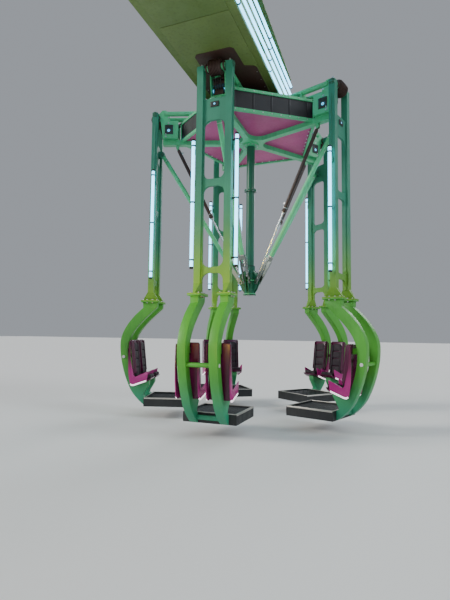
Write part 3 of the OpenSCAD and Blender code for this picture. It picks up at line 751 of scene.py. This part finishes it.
# %% Outlines and curves
def plate_from(points, width, y, bevel):
    """An outline of points, measured from the flange, extruded across the arm and rounded."""
    mesh = bpy.data.meshes.new("outline")
    near = y - width / 2
    mesh.from_pydata([(ARM_R + x, near, FLANGE_Z + z) for x, z in points], [], [tuple(range(len(points)))])
    obj = new_object(mesh)
    bpy.ops.object.mode_set(mode="EDIT")
    bpy.ops.mesh.select_all(action="SELECT")
    bpy.ops.mesh.extrude_region_move(TRANSFORM_OT_translate={"value": (0, width, 0)})
    bpy.ops.object.mode_set(mode="OBJECT")
    round_edges(obj, bevel, 3, 28)
    return apply_modifiers(obj)


def curve(a, b, c, d, count=16):
    """Points on a cubic curve, without its first."""
    out = []
    for i in range(1, count + 1):
        t = i / count
        w = ((1 - t) ** 3, 3 * t * (1 - t) ** 2, 3 * t * t * (1 - t), t ** 3)
        out.append(tuple(sum(w[j] * q[n] for j, q in enumerate((a, b, c, d))) for n in (0, 1)))
    return out


# %% [markdown]
# ## Seat outlines
# Each bucket is a glossy moulding with a V-shaped wing at each side and a glowing strip along its foot, which
# is a painted highlight. Its back leans on the claw and its pan slopes down to the heel, so two straight lines
# drive the bucket's outline.

# %% Seat outlines
def under(x):
    """Height of the pan's underside."""
    return -1.750 - (x + 0.060) / 3


def rear(z):
    """Outward place of the back's rear face."""
    return 0.395 + (z + 0.870) * 0.11055


heel = rear(-1.865)
bucket = [(heel, under(heel)), (0.395, -0.885), (0.380, -0.870), (0.350, -0.872), (0.340, -0.890),
          (rear(-1.60) - 0.036, -1.60), (rear(-1.76) - 0.046, -1.76), (0.195, -1.792),
          (-0.050, under(-0.05) + 0.040), (-0.080, -1.690), (-0.095, -1.700), (-0.060, under(-0.06))]
wing = [(-0.032, -1.550), (0.256, -1.680), (0.290, -1.645), (0.362, -1.310), (0.384, -0.930), (0.390, -0.900),
        (0.404, -0.900), (0.410, -0.930), (0.424, -1.310), (0.414, -1.560), (0.384, -1.780), (0.362, -1.842),
        (0.325, -1.876), (0.280, -1.874), (0.150, -1.828), (0.000, -1.775)]
foot = [(0.006, -1.776), (0.150, -1.827), (0.280, -1.873), (0.330, -1.877), (0.366, -1.850), (0.356, -1.824),
        (0.322, -1.842), (0.284, -1.840), (0.160, -1.796), (0.012, -1.744)]
print("bucket's heel at", round(heel, 3), round(under(heel), 3))

# %% [markdown]
# ## Seat shells and liners
# A dark liner of firm moulded panels lies in each bucket, with gaps between them that read as its segments. A
# single block with cut grooves would do, but separate rounded panels catch the light along every edge.

# %% Seat shells and liners
SHELL = 0.034


def back_panel(low, high, thick):
    """Outline of a liner panel on the seat's back."""
    return [(rear(low) - SHELL, low), (rear(high) - SHELL, high), (rear(high) - SHELL - thick, high - 0.006),
            (rear(low) - SHELL - thick, low + 0.006)]


seat_panel = [(0.205, -1.800), (0.215, -1.735), (0.160, -1.722), (0.050, -1.672), (-0.030, -1.628),
              (-0.074, -1.640), (-0.078, -1.688), (-0.048, -1.712)]
buckets, wings, edges, panels = [], [], [], []
for s in SIDES:
    centre = s * POST_Y
    buckets.append(plate_from(bucket, 0.415, centre, 0.010))
    for e in SIDES:
        wings.append(plate_from(wing, 0.020, centre + e * 0.220, 0.006))
        buckets.append(plate_from(back_panel(-1.60, -0.885, 0.052), 0.022, centre + e * 0.192, 0.007))
        edges.append(plate_from(foot, 0.012, centre + e * 0.2245, 0.003))
        panels.append(plate_from(back_panel(-1.66, -0.96, 0.046), 0.050, centre + e * 0.152, 0.012))
        panels.append(plate_from(seat_panel, 0.170, centre + e * 0.087, 0.014))
    for low, high in ((-1.700, -1.490), (-1.480, -1.300), (-1.290, -1.120), (-1.110, -0.930)):
        panels.append(plate_from(back_panel(low, high, 0.036), 0.240, centre, 0.012))
# The buckets' plum and the wings' fade to plum above are painted shade on the magenta moulding.
on_arms(join(buckets), "arm_{}_seat_buckets", "seat_magenta", SHADED_PLUM, stands_for="arm_{}_seats")
on_arms(join(wings), "arm_{}_seat_wings", "seat_magenta", SHADED_WING)
on_arms(join(panels), "arm_{}_seat_liners", "fascia_black", LINER)
# The seats' foot strips glow as a painted highlight.
on_arms(join(edges), "arm_{}_seat_edge_lights", "light_tube", EDGE_HIGHLIGHT_GLOW)

# %% [markdown]
# ## Claws
# The claws are welded boxes whose long curves the eye follows, so they are built again with twice as many
# points and with softened edges that catch the light. Flange plates, the cross tube and the foot bar go with
# them.

# %% Claw outline
CLAW_H, BULGE, SIDE = 2.315, 0.650, 0.475
neck, belly, toe = (0.155, -0.150), (BULGE, -0.425 * CLAW_H), (0.058, -CLAW_H)
shin = (BULGE - 0.229, -0.825 * CLAW_H)
outer = [(0.165, -0.025), neck]
outer += curve(neck, (BULGE - 0.265, -0.147 * CLAW_H), (BULGE + 0.015, -0.289 * CLAW_H), belly)
outer += curve(belly, (BULGE, -0.546 * CLAW_H), (BULGE - 0.089, -0.704 * CLAW_H), shin)
outer += curve(shin, (BULGE - 0.275, -0.877 * CLAW_H), (0.200, -0.963 * CLAW_H), toe)
rest, ledge = SIDE - 0.185, -0.015
sit, back, throat = (rest, under(rest)), (SIDE + 0.003, -0.469 * CLAW_H), (-0.160, -0.130)
inner = [(0.058, -2.135), (0.110, -2.100), (0.098, -2.055), (ledge, under(ledge) - 0.095),
         (ledge, under(ledge)), sit]
inner += curve(sit, (rest + 0.100, -0.698 * CLAW_H), (SIDE + 0.008, -0.581 * CLAW_H), back)
inner += curve(back, (SIDE + 0.015, -0.302 * CLAW_H), (SIDE - 0.325, -0.186 * CLAW_H), throat)
inner += [(-0.165, -0.025)]
print("claw outline has", len(outer + inner), "points")

# %% Claws
LOW, HIGH = -1.06, -0.95
bracket = [(rear(LOW), LOW), (CROSS_OUT, LOW), (CROSS_OUT, HIGH), (rear(HIGH), HIGH)]
parts = []
for s in SIDES:
    parts.append(plate_from(outer + inner, 0.160, s * POST_Y, 0.006))
    parts.append(plate_from(bracket, 0.100, s * POST_Y, 0.004))
    parts.append(block((0.400, 0.250, FLANGE_T), (ARM_R, s * POST_Y, FLANGE_Z - FLANGE_T / 2), 0.004))
parts.append(cylinder(0.040, 0.766, (CROSS[0], 0, CROSS[1]), (0, 1, 0), 40, 0.004))
parts.append(block((0.060, 0.590, 0.080), (ARM_R + 0.088, 0, FLANGE_Z - 2.210), 0.004))
on_arms(join(parts), "arm_{}_claw_shells", "claw_lime", stands_for="arm_{}_claws")

# %% [markdown]
# ## Gondola floor
# The floor is a shallow tray. A pale alloy trim caps its rim, and rows of raised tread bars give grip. The
# bars could be a bump in the paint, but at this size real bars shade better from a low camera.

# %% Floor trim
FLOOR_TOP, FLOOR_IN, FLOOR_OUT, FLOOR_W = FLANGE_Z - 2.130, ARM_R - 0.942, ARM_R + 0.058, 1.040
FLOOR_MID, TRIM_W, TRIM_Z = (FLOOR_IN + FLOOR_OUT) / 2, 0.034, FLOOR_TOP + 0.004
trim = []
for s in SIDES:
    trim.append(block((1.000, TRIM_W, 0.010), (FLOOR_MID, s * (FLOOR_W - TRIM_W) / 2, TRIM_Z), 0.003))
for x in (FLOOR_IN + TRIM_W / 2, FLOOR_OUT - TRIM_W / 2):
    trim.append(block((TRIM_W, FLOOR_W - 2 * TRIM_W, 0.010), (x, 0, TRIM_Z), 0.003))
for s in SIDES:
    trim.append(block((0.98, 0.006, 0.022), (FLOOR_MID, s * (FLOOR_W / 2 + 0.002), FLOOR_TOP - 0.010), 0.002))
on_arms(join(trim), "arm_{}_floor_trim", "floor_dark", TRIM)

# %% Tread
ROWS, BAR_STEP = 13, 0.07
spots = []
for i, x in enumerate(evenly(ROWS, BAR_STEP)):
    for j, y in enumerate(evenly(ROWS, BAR_STEP)):
        lean = math.pi / 4 if (i + j) % 2 else -math.pi / 4
        spot = (FLOOR_MID + x, y, FLOOR_TOP - 0.030)
        spots.append(Matrix.Translation(spot) @ Matrix.Rotation(lean, 4, "Z"))
bar = block((0.050, 0.012, 0.005), (0, 0, 0.0015), 0.002)
on_arms(copies(bar, spots), "arm_{}_floor_tread", "floor_dark")

# %% [markdown]
# ## Collars and glands of the linkage
# The struts get bright collars where tube and fork meet, and the lift cylinders get a gland nut and a port
# block. These lean with their own tubes, so they are modelled upright and tilted about the tube's foot.

# %% Strut collars
def leaning(parts, foot, lean):
    """Parts modelled up the z axis from the origin, tilted outward and set on a foot point in arm space."""
    obj = join(parts)
    obj.data.transform(Matrix.Translation((foot[0], 0, foot[1])) @ Matrix.Rotation(lean, 4, "Y"))
    return obj


LUG = (0.215, 3.050)
strut_lean = math.atan2(LEVER[0] - LUG[0], LEVER[1] - LUG[1])
parts = [ring(0.050, 0.062, 0.030, (0, 0, 0.668)), ring(0.050, 0.058, 0.012, (0, 0, 3.42), sides=36)]
for s in SIDES:
    parts += [cylinder(0.018, 0.016, (0, s * 0.081, z), (0, s, 0), 16, 0.003) for z in (0.10, 0.54)]
on_arms(leaning(parts, LUG, strut_lean), "strut_{}_collar", "rod_steel", ZINC, "strut_{}")
print("struts lean", round(math.degrees(strut_lean), 2), "degrees")

# %% Cylinder glands
LIFT_TOP, LIFT_FOOT = (1.750, 6.280), (0.215, 3.200)
lift_lean = math.atan2(LIFT_TOP[0] - LIFT_FOOT[0], LIFT_TOP[1] - LIFT_FOOT[1])
parts = [ring(0.0215, 0.044, 0.020, (0, 0, 1.910), sides=32),
         ring(0.050, 0.054, 0.012, (0, 0, 1.80), sides=32)]
for z in (0.16, 1.72):
    parts.append(block((0.036, 0.030, 0.050), (0.052, 0, z), 0.004))
    parts.append(cylinder(0.009, 0.030, (0.080, 0, z), (1, 0, 0), 12, 0.002))
glands = leaning(parts, LIFT_TOP, lift_lean - math.pi)
on_arms(glands, "lift_barrel_{}_gland", "rod_steel", ZINC, "lift_barrel_{}")
print("lifts lean", round(math.degrees(lift_lean), 2), "degrees")

# %% [markdown]
# ## Outrigger bolts
# The deck's corners carry the outriggers. Bolts tie each one down to its spider beam and through its side
# plates. Their places follow no even step, so each is given by a matrix rather than by an array modifier.

# %% Outrigger bolts
BEAM_Z, DECK_TOP, DECK_LOW, PLATE_Y = 6.350, 6.900, 6.410, 0.160
spots = [at((x, y, BEAM_Z + 0.140)) for x in (1.80, 1.98) for y in (-0.115, 0.115)]
for x, heights in ((2.02, (6.52, 6.58)), (1.96, (6.84, 6.98))):
    spots += [at((x, s * PLATE_Y, z), (0, s, 0)) for s in SIDES for z in heights]
on_arms(bolts(0.030, spots), "outrigger_{}_bolts", "rod_steel", ZINC, "head")

# %% [markdown]
# ## Outrigger machinery
# A brown brake drum sits round each pivot sleeve between the side plates, with cooling ribs round it. Behind
# it stand a valve block with five screwed ports and two small tanks. The ribs could be one turned profile,
# but separate rings keep their sharp shadows.

# %% Brake drums and valve blocks
DRUM_W, VALVE_X, PORT_Z = 0.250, 1.960, 6.800
parts = [cylinder(0.128, DRUM_W, (ARM_R, 0, PIVOT_Z), (0, 1, 0), 40, 0.006)]
parts += [ring(0.120, 0.146, 0.010, (ARM_R, y, PIVOT_Z), (0, 1, 0), 40) for y in evenly(8, 0.030)]
parts += [cylinder(0.086, 0.026, (ARM_R, s * 0.180, PIVOT_Z), (0, 1, 0), 32, 0.005) for s in SIDES]
parts.append(block((0.190, DRUM_W, 0.150), (VALVE_X, 0, PORT_Z), 0.010))
parts.append(block((0.120, 0.200, 0.120), (VALVE_X + 0.060, 0, 6.570), 0.008))
for y in evenly(5, 0.045):
    parts.append(cylinder(0.022, 0.070, (VALVE_X + 0.120, y, PORT_Z), (1, 0, 0), 14, 0.003))
for s in SIDES:
    parts.append(cylinder(0.030, 0.200, (VALVE_X - 0.110, s * 0.085, 6.620), sides=18, bevel=0.008))
on_arms(join(parts), "outrigger_{}_machinery", "drum_brown", body="head")

# %% [markdown]
# ## Pipes
# Each rigid pipe is a curve with a round bevel, the quickest way to bend a tube through given points. It is
# made a mesh, and the discs that close its ends are merged to its wall.

# %% Pipes
def pipe(points, radius):
    """A bent pipe along a smooth curve, as a closed mesh."""
    data = bpy.data.curves.new("pipe", "CURVE")
    data.dimensions = "3D"
    data.bevel_depth = radius
    data.bevel_resolution = 3
    data.resolution_u = 8
    data.use_fill_caps = True
    line = data.splines.new("NURBS")
    line.points.add(len(points) - 1)
    for point, place in zip(line.points, points):
        point.co = (*place, 1)
    line.order_u = 3
    line.use_endpoint_u = True
    new_object(data)
    bpy.ops.object.convert(target="MESH")
    bpy.ops.object.mode_set(mode="EDIT")
    bpy.ops.mesh.select_all(action="SELECT")
    bpy.ops.mesh.remove_doubles(threshold=0.00001)
    bpy.ops.object.mode_set(mode="OBJECT")
    return apply_modifiers(bpy.context.object)


lines = []
for y in (-0.068, -0.022, 0.022, 0.068):
    bend = [(2.110, y, PORT_Z), (2.180, y, 6.780), (2.150, y * 1.1, 6.640), (2.080, y, 6.590)]
    lines.append(pipe(bend, 0.011))
for y in evenly(3, 0.060):
    run = [(1.870, y, PORT_Z), (1.700, y, 6.830), (1.560, y, 6.990), (1.300, y * 0.9, 6.990),
           (1.120, y, 6.985), (1.090, y, 6.940), (1.090, y, 6.895)]
    lines.append(pipe(run, 0.013))
on_arms(join(lines), "outrigger_{}_pipes", "fascia_black", RUBBER, "head")

# %% [markdown]
# ## Outrigger lamps
# A small lamp shines out of the round hole in each side plate. A dark louvred housing is bolted over the
# hole. One long cylinder through both plates makes both lenses, because its middle is never seen.

# %% Outrigger lamps
HOLE_X, HOLE_Z = 1.950, 6.660
lens = cylinder(0.034, 0.352, (HOLE_X, 0, HOLE_Z), (0, 1, 0), 24, 0.006)
on_arms(lens, "outrigger_{}_lamp", "light_tube", LAMP, "head")
parts = []
for s in SIDES:
    parts.append(block((0.200, 0.012, 0.230), (HOLE_X - 0.005, s * (PLATE_Y + 0.006), HOLE_Z + 0.025), 0.004))
    parts.append(ring(0.037, 0.062, 0.014, (HOLE_X, s * (PLATE_Y + 0.012), HOLE_Z), (0, 1, 0), 32))
    for z in evenly(3, 0.022):
        louvre = (HOLE_X - 0.005, s * (PLATE_Y + 0.014), HOLE_Z + 0.107 + z)
        parts.append(block((0.150, 0.010, 0.016), louvre, 0.003))
on_arms(join(parts), "outrigger_{}_lamp_housings", "graphite_paint", body="head")

# %% [markdown]
# ## Fixings along the deck's sides
# Rows of small fixings hold the dark fascia and the magenta soffit to their rails. The deck is a pentagon, so
# each row is worked out from the side's middle and its distance from the head's axis.

# %% Fixings along the deck's sides
def side_spots(k, apothem, count, length, z, down=False):
    """Places along one side of the pentagon, midway between arms k and k + 1."""
    angle = math.radians(-90 + FIFTH * (k - 1) + FIFTH / 2)
    out = Vector((math.cos(angle), math.sin(angle), 0))
    along = Vector((-out.y, out.x, 0))
    middle = Vector((0, REACH, z)) + out * apothem
    axis = DOWN if down else out
    return [at(middle + along * step, axis) for step in evenly(count, length / (count - 1))]


CORNER_R, RAIL_LEN = 1.716, 1.60
APOTHEM = CORNER_R * math.cos(math.radians(FIFTH / 2))
rails, panels = [], []
for k in ARMS:
    rails += side_spots(k, APOTHEM, 9, RAIL_LEN, DECK_TOP - 0.030)
    rails += side_spots(k, APOTHEM, 9, RAIL_LEN, DECK_LOW + 0.030)
    panels += side_spots(k, APOTHEM - 0.085, 8, 1.32, DECK_LOW + 0.040, down=True)
bolt_on(0.020, rails, "deck_rail_bolts", "head")
fix(bolts(0.026, panels), "soffit_screws", "head", "rod_steel", CAP_WHITE)

# %% [markdown]
# ## Fascia strips and corner posts
# Upright strips cover the joints between the fascia's dark sheets, and a mint post closes each corner behind
# the outrigger. One strip and one post are modelled, and matrices turn their copies round the head's axis.

# %% Fascia strips and corner posts
SKIRT_Z = (DECK_TOP + DECK_LOW) / 2
strips = []
for k in ARMS:
    to_side = about_head(-180 + FIFTH * (k - 1) + FIFTH / 2)
    strips += [to_side @ Matrix.Translation((x, 0, 0)) for x in evenly(5, RAIL_LEN / 4)]
strip = block((0.036, 0.008, 0.366), (0, APOTHEM - 0.018, SKIRT_Z), 0.002)
fix(copies(strip, strips), "fascia_strips", "head", "fascia_black")
post = block((0.090, 0.100, 0.370), (1.640, 0, SKIRT_Z), 0.006)
fix(copies(post, [arm_matrix(k) for k in ARMS]), "deck_corner_posts", "head", "head_mint")

# %% [markdown]
# ## Hub and column
# A circle of heavy bolts ties the hub to the deck. The column hangs from a stepped flange under the spider
# beams, and the bolts of a joint below show that it comes in two lengths. The flange is two rings of
# different widths, which shade like the steps of one turned part.

# %% Hub and column
HUB_BOLTS_R, COLUMN_BOLTS_R, JOINT_Z = 0.500, 0.118, 5.235
bolt_on(0.036, circle_of(20, HUB_BOLTS_R, DECK_TOP + 0.040, HEAD_AXIS), "hub_bolts", "head")
parts = [ring(0.0955, 0.190, 0.030, (0, REACH, BEAM_Z - 0.015)),
         ring(0.0955, 0.115, 0.020, (0, REACH, BEAM_Z - 0.040))]
fix(join(parts), "column_top_flange", "head", "head_mint")
spots = circle_of(12, 0.160, BEAM_Z - 0.030, HEAD_AXIS, axis=DOWN)
spots += circle_of(8, COLUMN_BOLTS_R, JOINT_Z + 0.025, HEAD_AXIS)
spots += circle_of(8, COLUMN_BOLTS_R, JOINT_Z - 0.025, HEAD_AXIS, axis=DOWN)
bolt_on(0.026, spots, "column_bolts", "head")

# %% [markdown]
# ## Runner
# The runner slides on the column. A black wiper keeps grit out of its top, and two mint rings stiffen its
# lugs. They are rings of their own because the sleeve between them is already in the plain model.

# %% Runner
fix(ring(0.0965, 0.118, 0.016, (0, REACH, 3.438), sides=40), "runner_wiper", "runner", "fascia_black", RUBBER)
parts = [ring(0.118, 0.185, 0.018, (0, REACH, 3.100), sides=40),
         ring(0.112, 0.146, 0.014, (0, REACH, 2.797), sides=40)]
fix(join(parts), "runner_rings", "runner", "head_mint")

# %% [markdown]
# ## Drives
# Three gearmotors hang from the jib round the head's bearing and turn it. Each is bolted up by a foot ring,
# and thin fins shed its heat. A fin is a ring of its own, since real gaps between fins stay dark from every
# side. A larger circle of bolts holds the bearing itself.

# %% Drives
DRIVES_R, FINS_Z = 0.760, 7.074
parts, spots = [], []
for a in (90, 210, 330):
    x, y = DRIVES_R * math.cos(math.radians(a)), REACH + DRIVES_R * math.sin(math.radians(a))
    parts += [ring(0.138, 0.156, 0.008, (x, y, FINS_Z + z), sides=32) for z in evenly(7, 0.018)]
    parts.append(ring(0.138, 0.190, 0.022, (x, y, 7.186), sides=40))
    spots += circle_of(10, 0.173, 7.175, (x, y), axis=DOWN)
fix(join(parts), "head_drive_fins", "jib", "gear_grey")
bolt_on(0.024, spots, "head_drive_bolts", "jib")
bearing = circle_of(24, HUB_BOLTS_R, 7.100, HEAD_AXIS, axis=DOWN)
bolt_on(0.034, bearing, "head_bearing_bolts", "jib")

# %% [markdown]
# ## The jib's underside
# Cover plates lie under the girder with a narrow seam between them, and they leave the flange's lips free.
# Three of the seams fall in line with the splices of the webs. A seam is a real gap, because a drawn line
# would blur.

# %% Cover plates
JIB_Z, SEAM = 7.200, 0.012
JOINTS = (3.90, 7.81, 11.72)
ends = (-2.55, 0.0, *JOINTS, 15.95)
plates = []
for y0, y1 in zip(ends, ends[1:]):
    plates.append(block((1.310, y1 - y0 - SEAM, 0.012), (0, (y0 + y1) / 2, JIB_Z - 0.004), 0.002))
fix(join(plates), "jib_cover_plates", "jib", "jib_olive")

# %% [markdown]
# ## Splices of the webs
# The jib travels in sections. At each joint a plate is bolted over both webs, in four columns of bolts. The
# plates stand a little proud, and one bolt is copied to every place, so hundreds of them share one model.

# %% Splices of the webs
WEB_X, SPLICE_Z = 0.670, JIB_Z + 0.520
SPLICE_L, COLUMNS = 0.420, (-0.16, -0.08, 0.08, 0.16)
plates, spots = [], []
for y in JOINTS:
    for s in SIDES:
        plates.append(block((0.014, SPLICE_L, 0.900), (s * (WEB_X + 0.006), y, SPLICE_Z), 0.003))
        for z in evenly(9, 0.09):
            spots += [at((s * (WEB_X + 0.013), y + step, SPLICE_Z + z), (s, 0, 0)) for step in COLUMNS]
fix(join(plates), "jib_splice_plates", "jib", "jib_olive")
bolt_on(0.030, spots, "jib_splice_bolts", "jib")

# %% [markdown]
# ## Shadow plate
# A thin dark plate below the head's bearing is painted shadow, standing for the arm's shadow on the jib's
# underside. It has a narrow tongue towards the pedestal. Its outline is one face, which Solidify thickens
# upwards and a bevel softens.

# %% Shadow plate
SHADOW_PLATE_Z, SHADOW_PLATE_MID = JIB_Z - 0.020, 14.66
half = [(0.34, 12.60), (0.40, 12.66), (0.42, 13.22), (0.60, 13.30),
        (0.64, 13.36), (0.64, 15.86), (0.58, 15.92)]
outline = half + [(-x, y) for x, y in reversed(half)]
mesh = bpy.data.meshes.new("pan")
mesh.from_pydata([(x, y, SHADOW_PLATE_Z) for x, y in outline], [], [tuple(range(len(outline)))])
pan = new_object(mesh)
wall = pan.modifiers.new("wall", "SOLIDIFY")
wall.thickness = 0.012
wall.offset = 1
round_edges(pan, 0.003)
# Painted shadow: this dark plate stands where the arm's shadow falls on the jib's underside.
fix(apply_modifiers(pan), "jib_shadow_plate", "jib", "drum_brown")
spots = [at((s * 0.60, SHADOW_PLATE_MID + y, SHADOW_PLATE_Z), DOWN) for s in SIDES for y in evenly(9, 0.29)]
bolt_on(0.016, spots, "jib_shadow_plate_bolts", "jib")
print("pan's underside at", round(SHADOW_PLATE_Z, 3))

# %% [markdown]
# ## Weld beads
# One long bead joins each web to the bottom flange. A thin cylinder sunk in the corner shows its rounded
# face.

# %% Weld beads
beads = [cylinder(0.008, 15.9, (s * (WEB_X + 0.006), 8.0, JIB_Z + 0.030), (0, 1, 0), 8, 0.003) for s in SIDES]
fix(join(beads), "jib_weld_beads", "jib", "jib_olive")

# %% [markdown]
# ## The jib from above
# The girder's top slopes down from the pedestal to the nose. Splice plates cross it in line with those on the
# webs. Between them are bolted hatches for inspection, and lugs for the crane that lifts each section. All
# are modelled flat and laid on the slope by one matrix.

# %% The sloping top
ROOT_Y, ROOT_H, NOSE_Y, NOSE_H = 2.600, 1.900, 15.750, 1.050
FALL = (ROOT_H - NOSE_H) / (NOSE_Y - ROOT_Y)
HATCH_X, HATCHES = 0.18, (5.80, 9.75, 13.60)


def on_top(x, y):
    """A matrix that lays a pattern on the sloping top."""
    z = JIB_Z + ROOT_H - FALL * (y - ROOT_Y)
    return Matrix.Translation((x, y, z)) @ Matrix.Rotation(-math.atan(FALL), 4, "X")


print("top falls", round(math.degrees(math.atan(FALL)), 2), "degrees")

# %% Top hatches
hatch = [block((0.720, 0.720, 0.024), (0, 0, 0.012), 0.004),
         block((0.600, 0.600, 0.030), (0, 0, 0.030), 0.006)]
hatch += [block((0.040, 0.520, 0.014), (x, 0, 0.050), 0.004) for x in evenly(3, 0.18)]
hatch += [cylinder(0.012, 0.090, (x, -0.312, 0.036), (1, 0, 0), 12, 0.002) for x in (-0.2, 0.2)]
fix(copies(join(hatch), [on_top(HATCH_X, y) for y in HATCHES]), "jib_top_hatches", "jib", "jib_olive")
rim = [(x, s * 0.33) for x in evenly(7, 0.11) for s in SIDES]
rim += [(s * 0.33, y) for y in evenly(5, 0.11) for s in SIDES]
spots = [on_top(HATCH_X, hatch_y) @ at((x, y, 0.024)) for hatch_y in HATCHES for x, y in rim]
bolt_on(0.024, spots, "jib_hatch_bolts", "jib")

# %% Lifting lugs
lug = [block((0.030, 0.200, 0.050), (0, 0, 0.020), 0.004),
       ring(0.028, 0.058, 0.030, (0, 0, 0.050), (1, 0, 0), 32)]
spots = [on_top(s * 0.60, y) for s in SIDES for y in (5.0, 7.2, 8.6, 11.1, 12.5, 15.2)]
fix(copies(join(lug), spots), "jib_lifting_lugs", "jib", "jib_olive")

# %% [markdown]
# ## Cable duct
# The head's power runs along the top in a dark duct, in lengths with a gap between them and two straps on
# each. One length is modelled and copied up the slope, so every gap is the same.

# %% Cable duct
cover = [block((0.170, 1.400, 0.052), (0, 0, 0.030), 0.006)]
cover += [block((0.196, 0.040, 0.060), (0, y, 0.031), 0.004) for y in (-0.5, 0.5)]
DUCT_X, DUCT_MID = -0.42, 9.67
lengths = [on_top(DUCT_X, DUCT_MID + y) for y in evenly(8, 1.42)]
fix(copies(join(cover), lengths), "jib_cable_duct", "jib", "graphite_paint")

# %% Top splices
plate = block((0.900, SPLICE_L, 0.012), (0, 0, 0.005), 0.003)
fix(copies(plate, [on_top(HATCH_X, y) for y in JOINTS]), "jib_top_splices", "jib", "jib_olive")
spots = []
for y in JOINTS:
    for x in evenly(10, 0.09):
        spots += [on_top(HATCH_X, y) @ at((x, step, 0.011)) for step in COLUMNS]
bolt_on(0.030, spots, "jib_top_splice_bolts", "jib")

# %% [markdown]
# ## Nose hatch
# The nose is closed by a bolted cover with a raised panel and three ribs, through which the inside is
# reached. Insets and extrusions of one box would do, but stacked bevelled plates give a cleaner edge.

# %% Nose hatch
END_Y, HATCH_Z = REACH + 1.100, JIB_Z + 0.40
parts = [block((0.860, 0.024, 0.560), (0, END_Y + 0.010, HATCH_Z), 0.004),
         block((0.720, 0.020, 0.420), (0, END_Y + 0.028, HATCH_Z), 0.006)]
parts += [block((0.500, 0.016, 0.030), (0, END_Y + 0.042, HATCH_Z + z), 0.004) for z in evenly(3, 0.12)]
fix(join(parts), "jib_nose_hatch", "jib", "jib_olive")
rim = [(x, s * 0.245) for x in evenly(7, 0.13) for s in SIDES]
rim += [(s * 0.39, z) for s in SIDES for z in evenly(3, 0.12)]
spots = [at((x, END_Y + 0.022, HATCH_Z + z), (0, 1, 0)) for x, z in rim]
bolt_on(0.026, spots, "jib_nose_bolts", "jib")

# %% [markdown]
# ## Counterweight clamps
# The counterweight is a stack of slabs at the jib's tail. Upright clamps bolt it together on both sides, and
# three plates cover its end. The slabs are in the plain model, so only what binds them is added.

# %% Counterweight clamps
WEIGHT_Z, TAIL_Y = JIB_Z + 0.650, -3.523
clamps, spots = [], []
for s in SIDES:
    for y in (-3.40, -3.12):
        clamps.append(block((0.020, 0.090, 0.860), (s * 0.639, y, WEIGHT_Z), 0.004))
        spots += [at((s * 0.649, y, WEIGHT_Z + z), (s, 0, 0)) for z in evenly(4, 0.24)]
clamps += [block((0.140, 0.008, 0.820), (x, TAIL_Y, WEIGHT_Z), 0.002) for x in evenly(3, 0.40)]
fix(join(clamps), "counterweight_clamps", "jib", "gear_grey")
bolt_on(0.036, spots, "counterweight_bolts", "jib")

# %% [markdown]
# ## Lit strips
# Four rows of lit tubes run along each side of the jib. Each row is laid in lengths as such tubes come, with
# a black socket and an arm to the web at every joint. The last length is cut to fit.

# %% Lit strips
STRIP_X, STRIP_FIRST, STRIP_LAST = 0.820, 7.800, 15.700
LENGTH, GAP, ROW_STEP = 1.93, 0.02, 0.240
tubes, mounts = [], []
for s in SIDES:
    for row in range(4):
        z = JIB_Z + 0.080 + ROW_STEP * row
        y = STRIP_FIRST + GAP
        while y < STRIP_LAST - 0.1:
            end = min(y + LENGTH, STRIP_LAST - GAP)
            tubes.append(cylinder(0.027, end - y, (s * STRIP_X, (y + end) / 2, z), (0, 1, 0), 16, 0.006))
            mounts.append(cylinder(0.029, 0.030, (s * STRIP_X, end + GAP, z), (0, 1, 0), 16, 0.004))
            arm = (s * (STRIP_X + WEB_X) / 2, end + GAP, z)
            mounts.append(block((STRIP_X - WEB_X, 0.022, 0.022), arm, 0.002))
            y = end + 2 * GAP
fix(join(tubes), "jib_light_strips", "jib", "light_tube", stands_for=("sign_strips",))
fix(join(mounts), "jib_strip_mounts", "jib", "fascia_black", RUBBER)

# %% [markdown]
# ## Pedestal bolts
# The tall tube stands on a ring of foundation bolts. Each has a plate washer, a heavy nut and a stub of
# thread. The slewing ring above is held by a close circle of bolts. Both come from the one bolt pattern at
# other sizes, since its parts keep their proportions.

# %% Pedestal bolts
bolt_on(0.066, circle_of(20, 1.020, 0.060), "anchor_nuts", "base")
ring_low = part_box("slewing_ring")[0].z
HALF_STEP = math.radians(4.5)
spots = circle_of(40, 0.860, ring_low - 0.060, start=HALF_STEP, axis=DOWN)
bolt_on(0.038, spots, "slewing_ring_bolts", "base")
print("slewing ring's underside at", round(ring_low, 3))

# %% [markdown]
# ## Service hatch
# A door gives access to the pedestal's inside. A thick frame is welded to the tube, and a ribbed lid hangs in
# it on two hinge pins, with a handle on the other side. The frame is deep enough to bury its back in the
# round wall.

# %% Service hatch
FRAME_Y, DOOR_Z = -0.615, 1.55
door_frame = block((0.620, 0.110, 1.260), (0, FRAME_Y, DOOR_Z), 0.008)
fix(door_frame, "pedestal_hatch_frame", "base", "graphite_paint")
lid = [block((0.520, 0.030, 1.160), (0, FRAME_Y - 0.068, DOOR_Z), 0.006)]
for z in (-0.44, -0.36, 0.36, 0.44):
    lid.append(block((0.400, 0.014, 0.060), (0, FRAME_Y - 0.085, DOOR_Z + z), 0.004))
fix(join(lid), "pedestal_hatch_lid", "base", "gear_grey")
HINGE_X, HANDLE_X = -0.268, 0.205
parts = [cylinder(0.010, 0.160, (HANDLE_X, FRAME_Y - 0.125, DOOR_Z), sides=14, bevel=0.002)]
for s in SIDES:
    hinge, foot_of_handle = DOOR_Z + s * 0.42, DOOR_Z + s * 0.06
    parts.append(cylinder(0.014, 0.110, (HINGE_X, FRAME_Y - 0.077, hinge), sides=14, bevel=0.002))
    parts.append(cylinder(0.008, 0.046, (HANDLE_X, FRAME_Y - 0.103, foot_of_handle), (0, 1, 0), 12))
fix(join(parts), "pedestal_hatch_fittings", "base", "rod_steel", ZINC)

# %% [markdown]
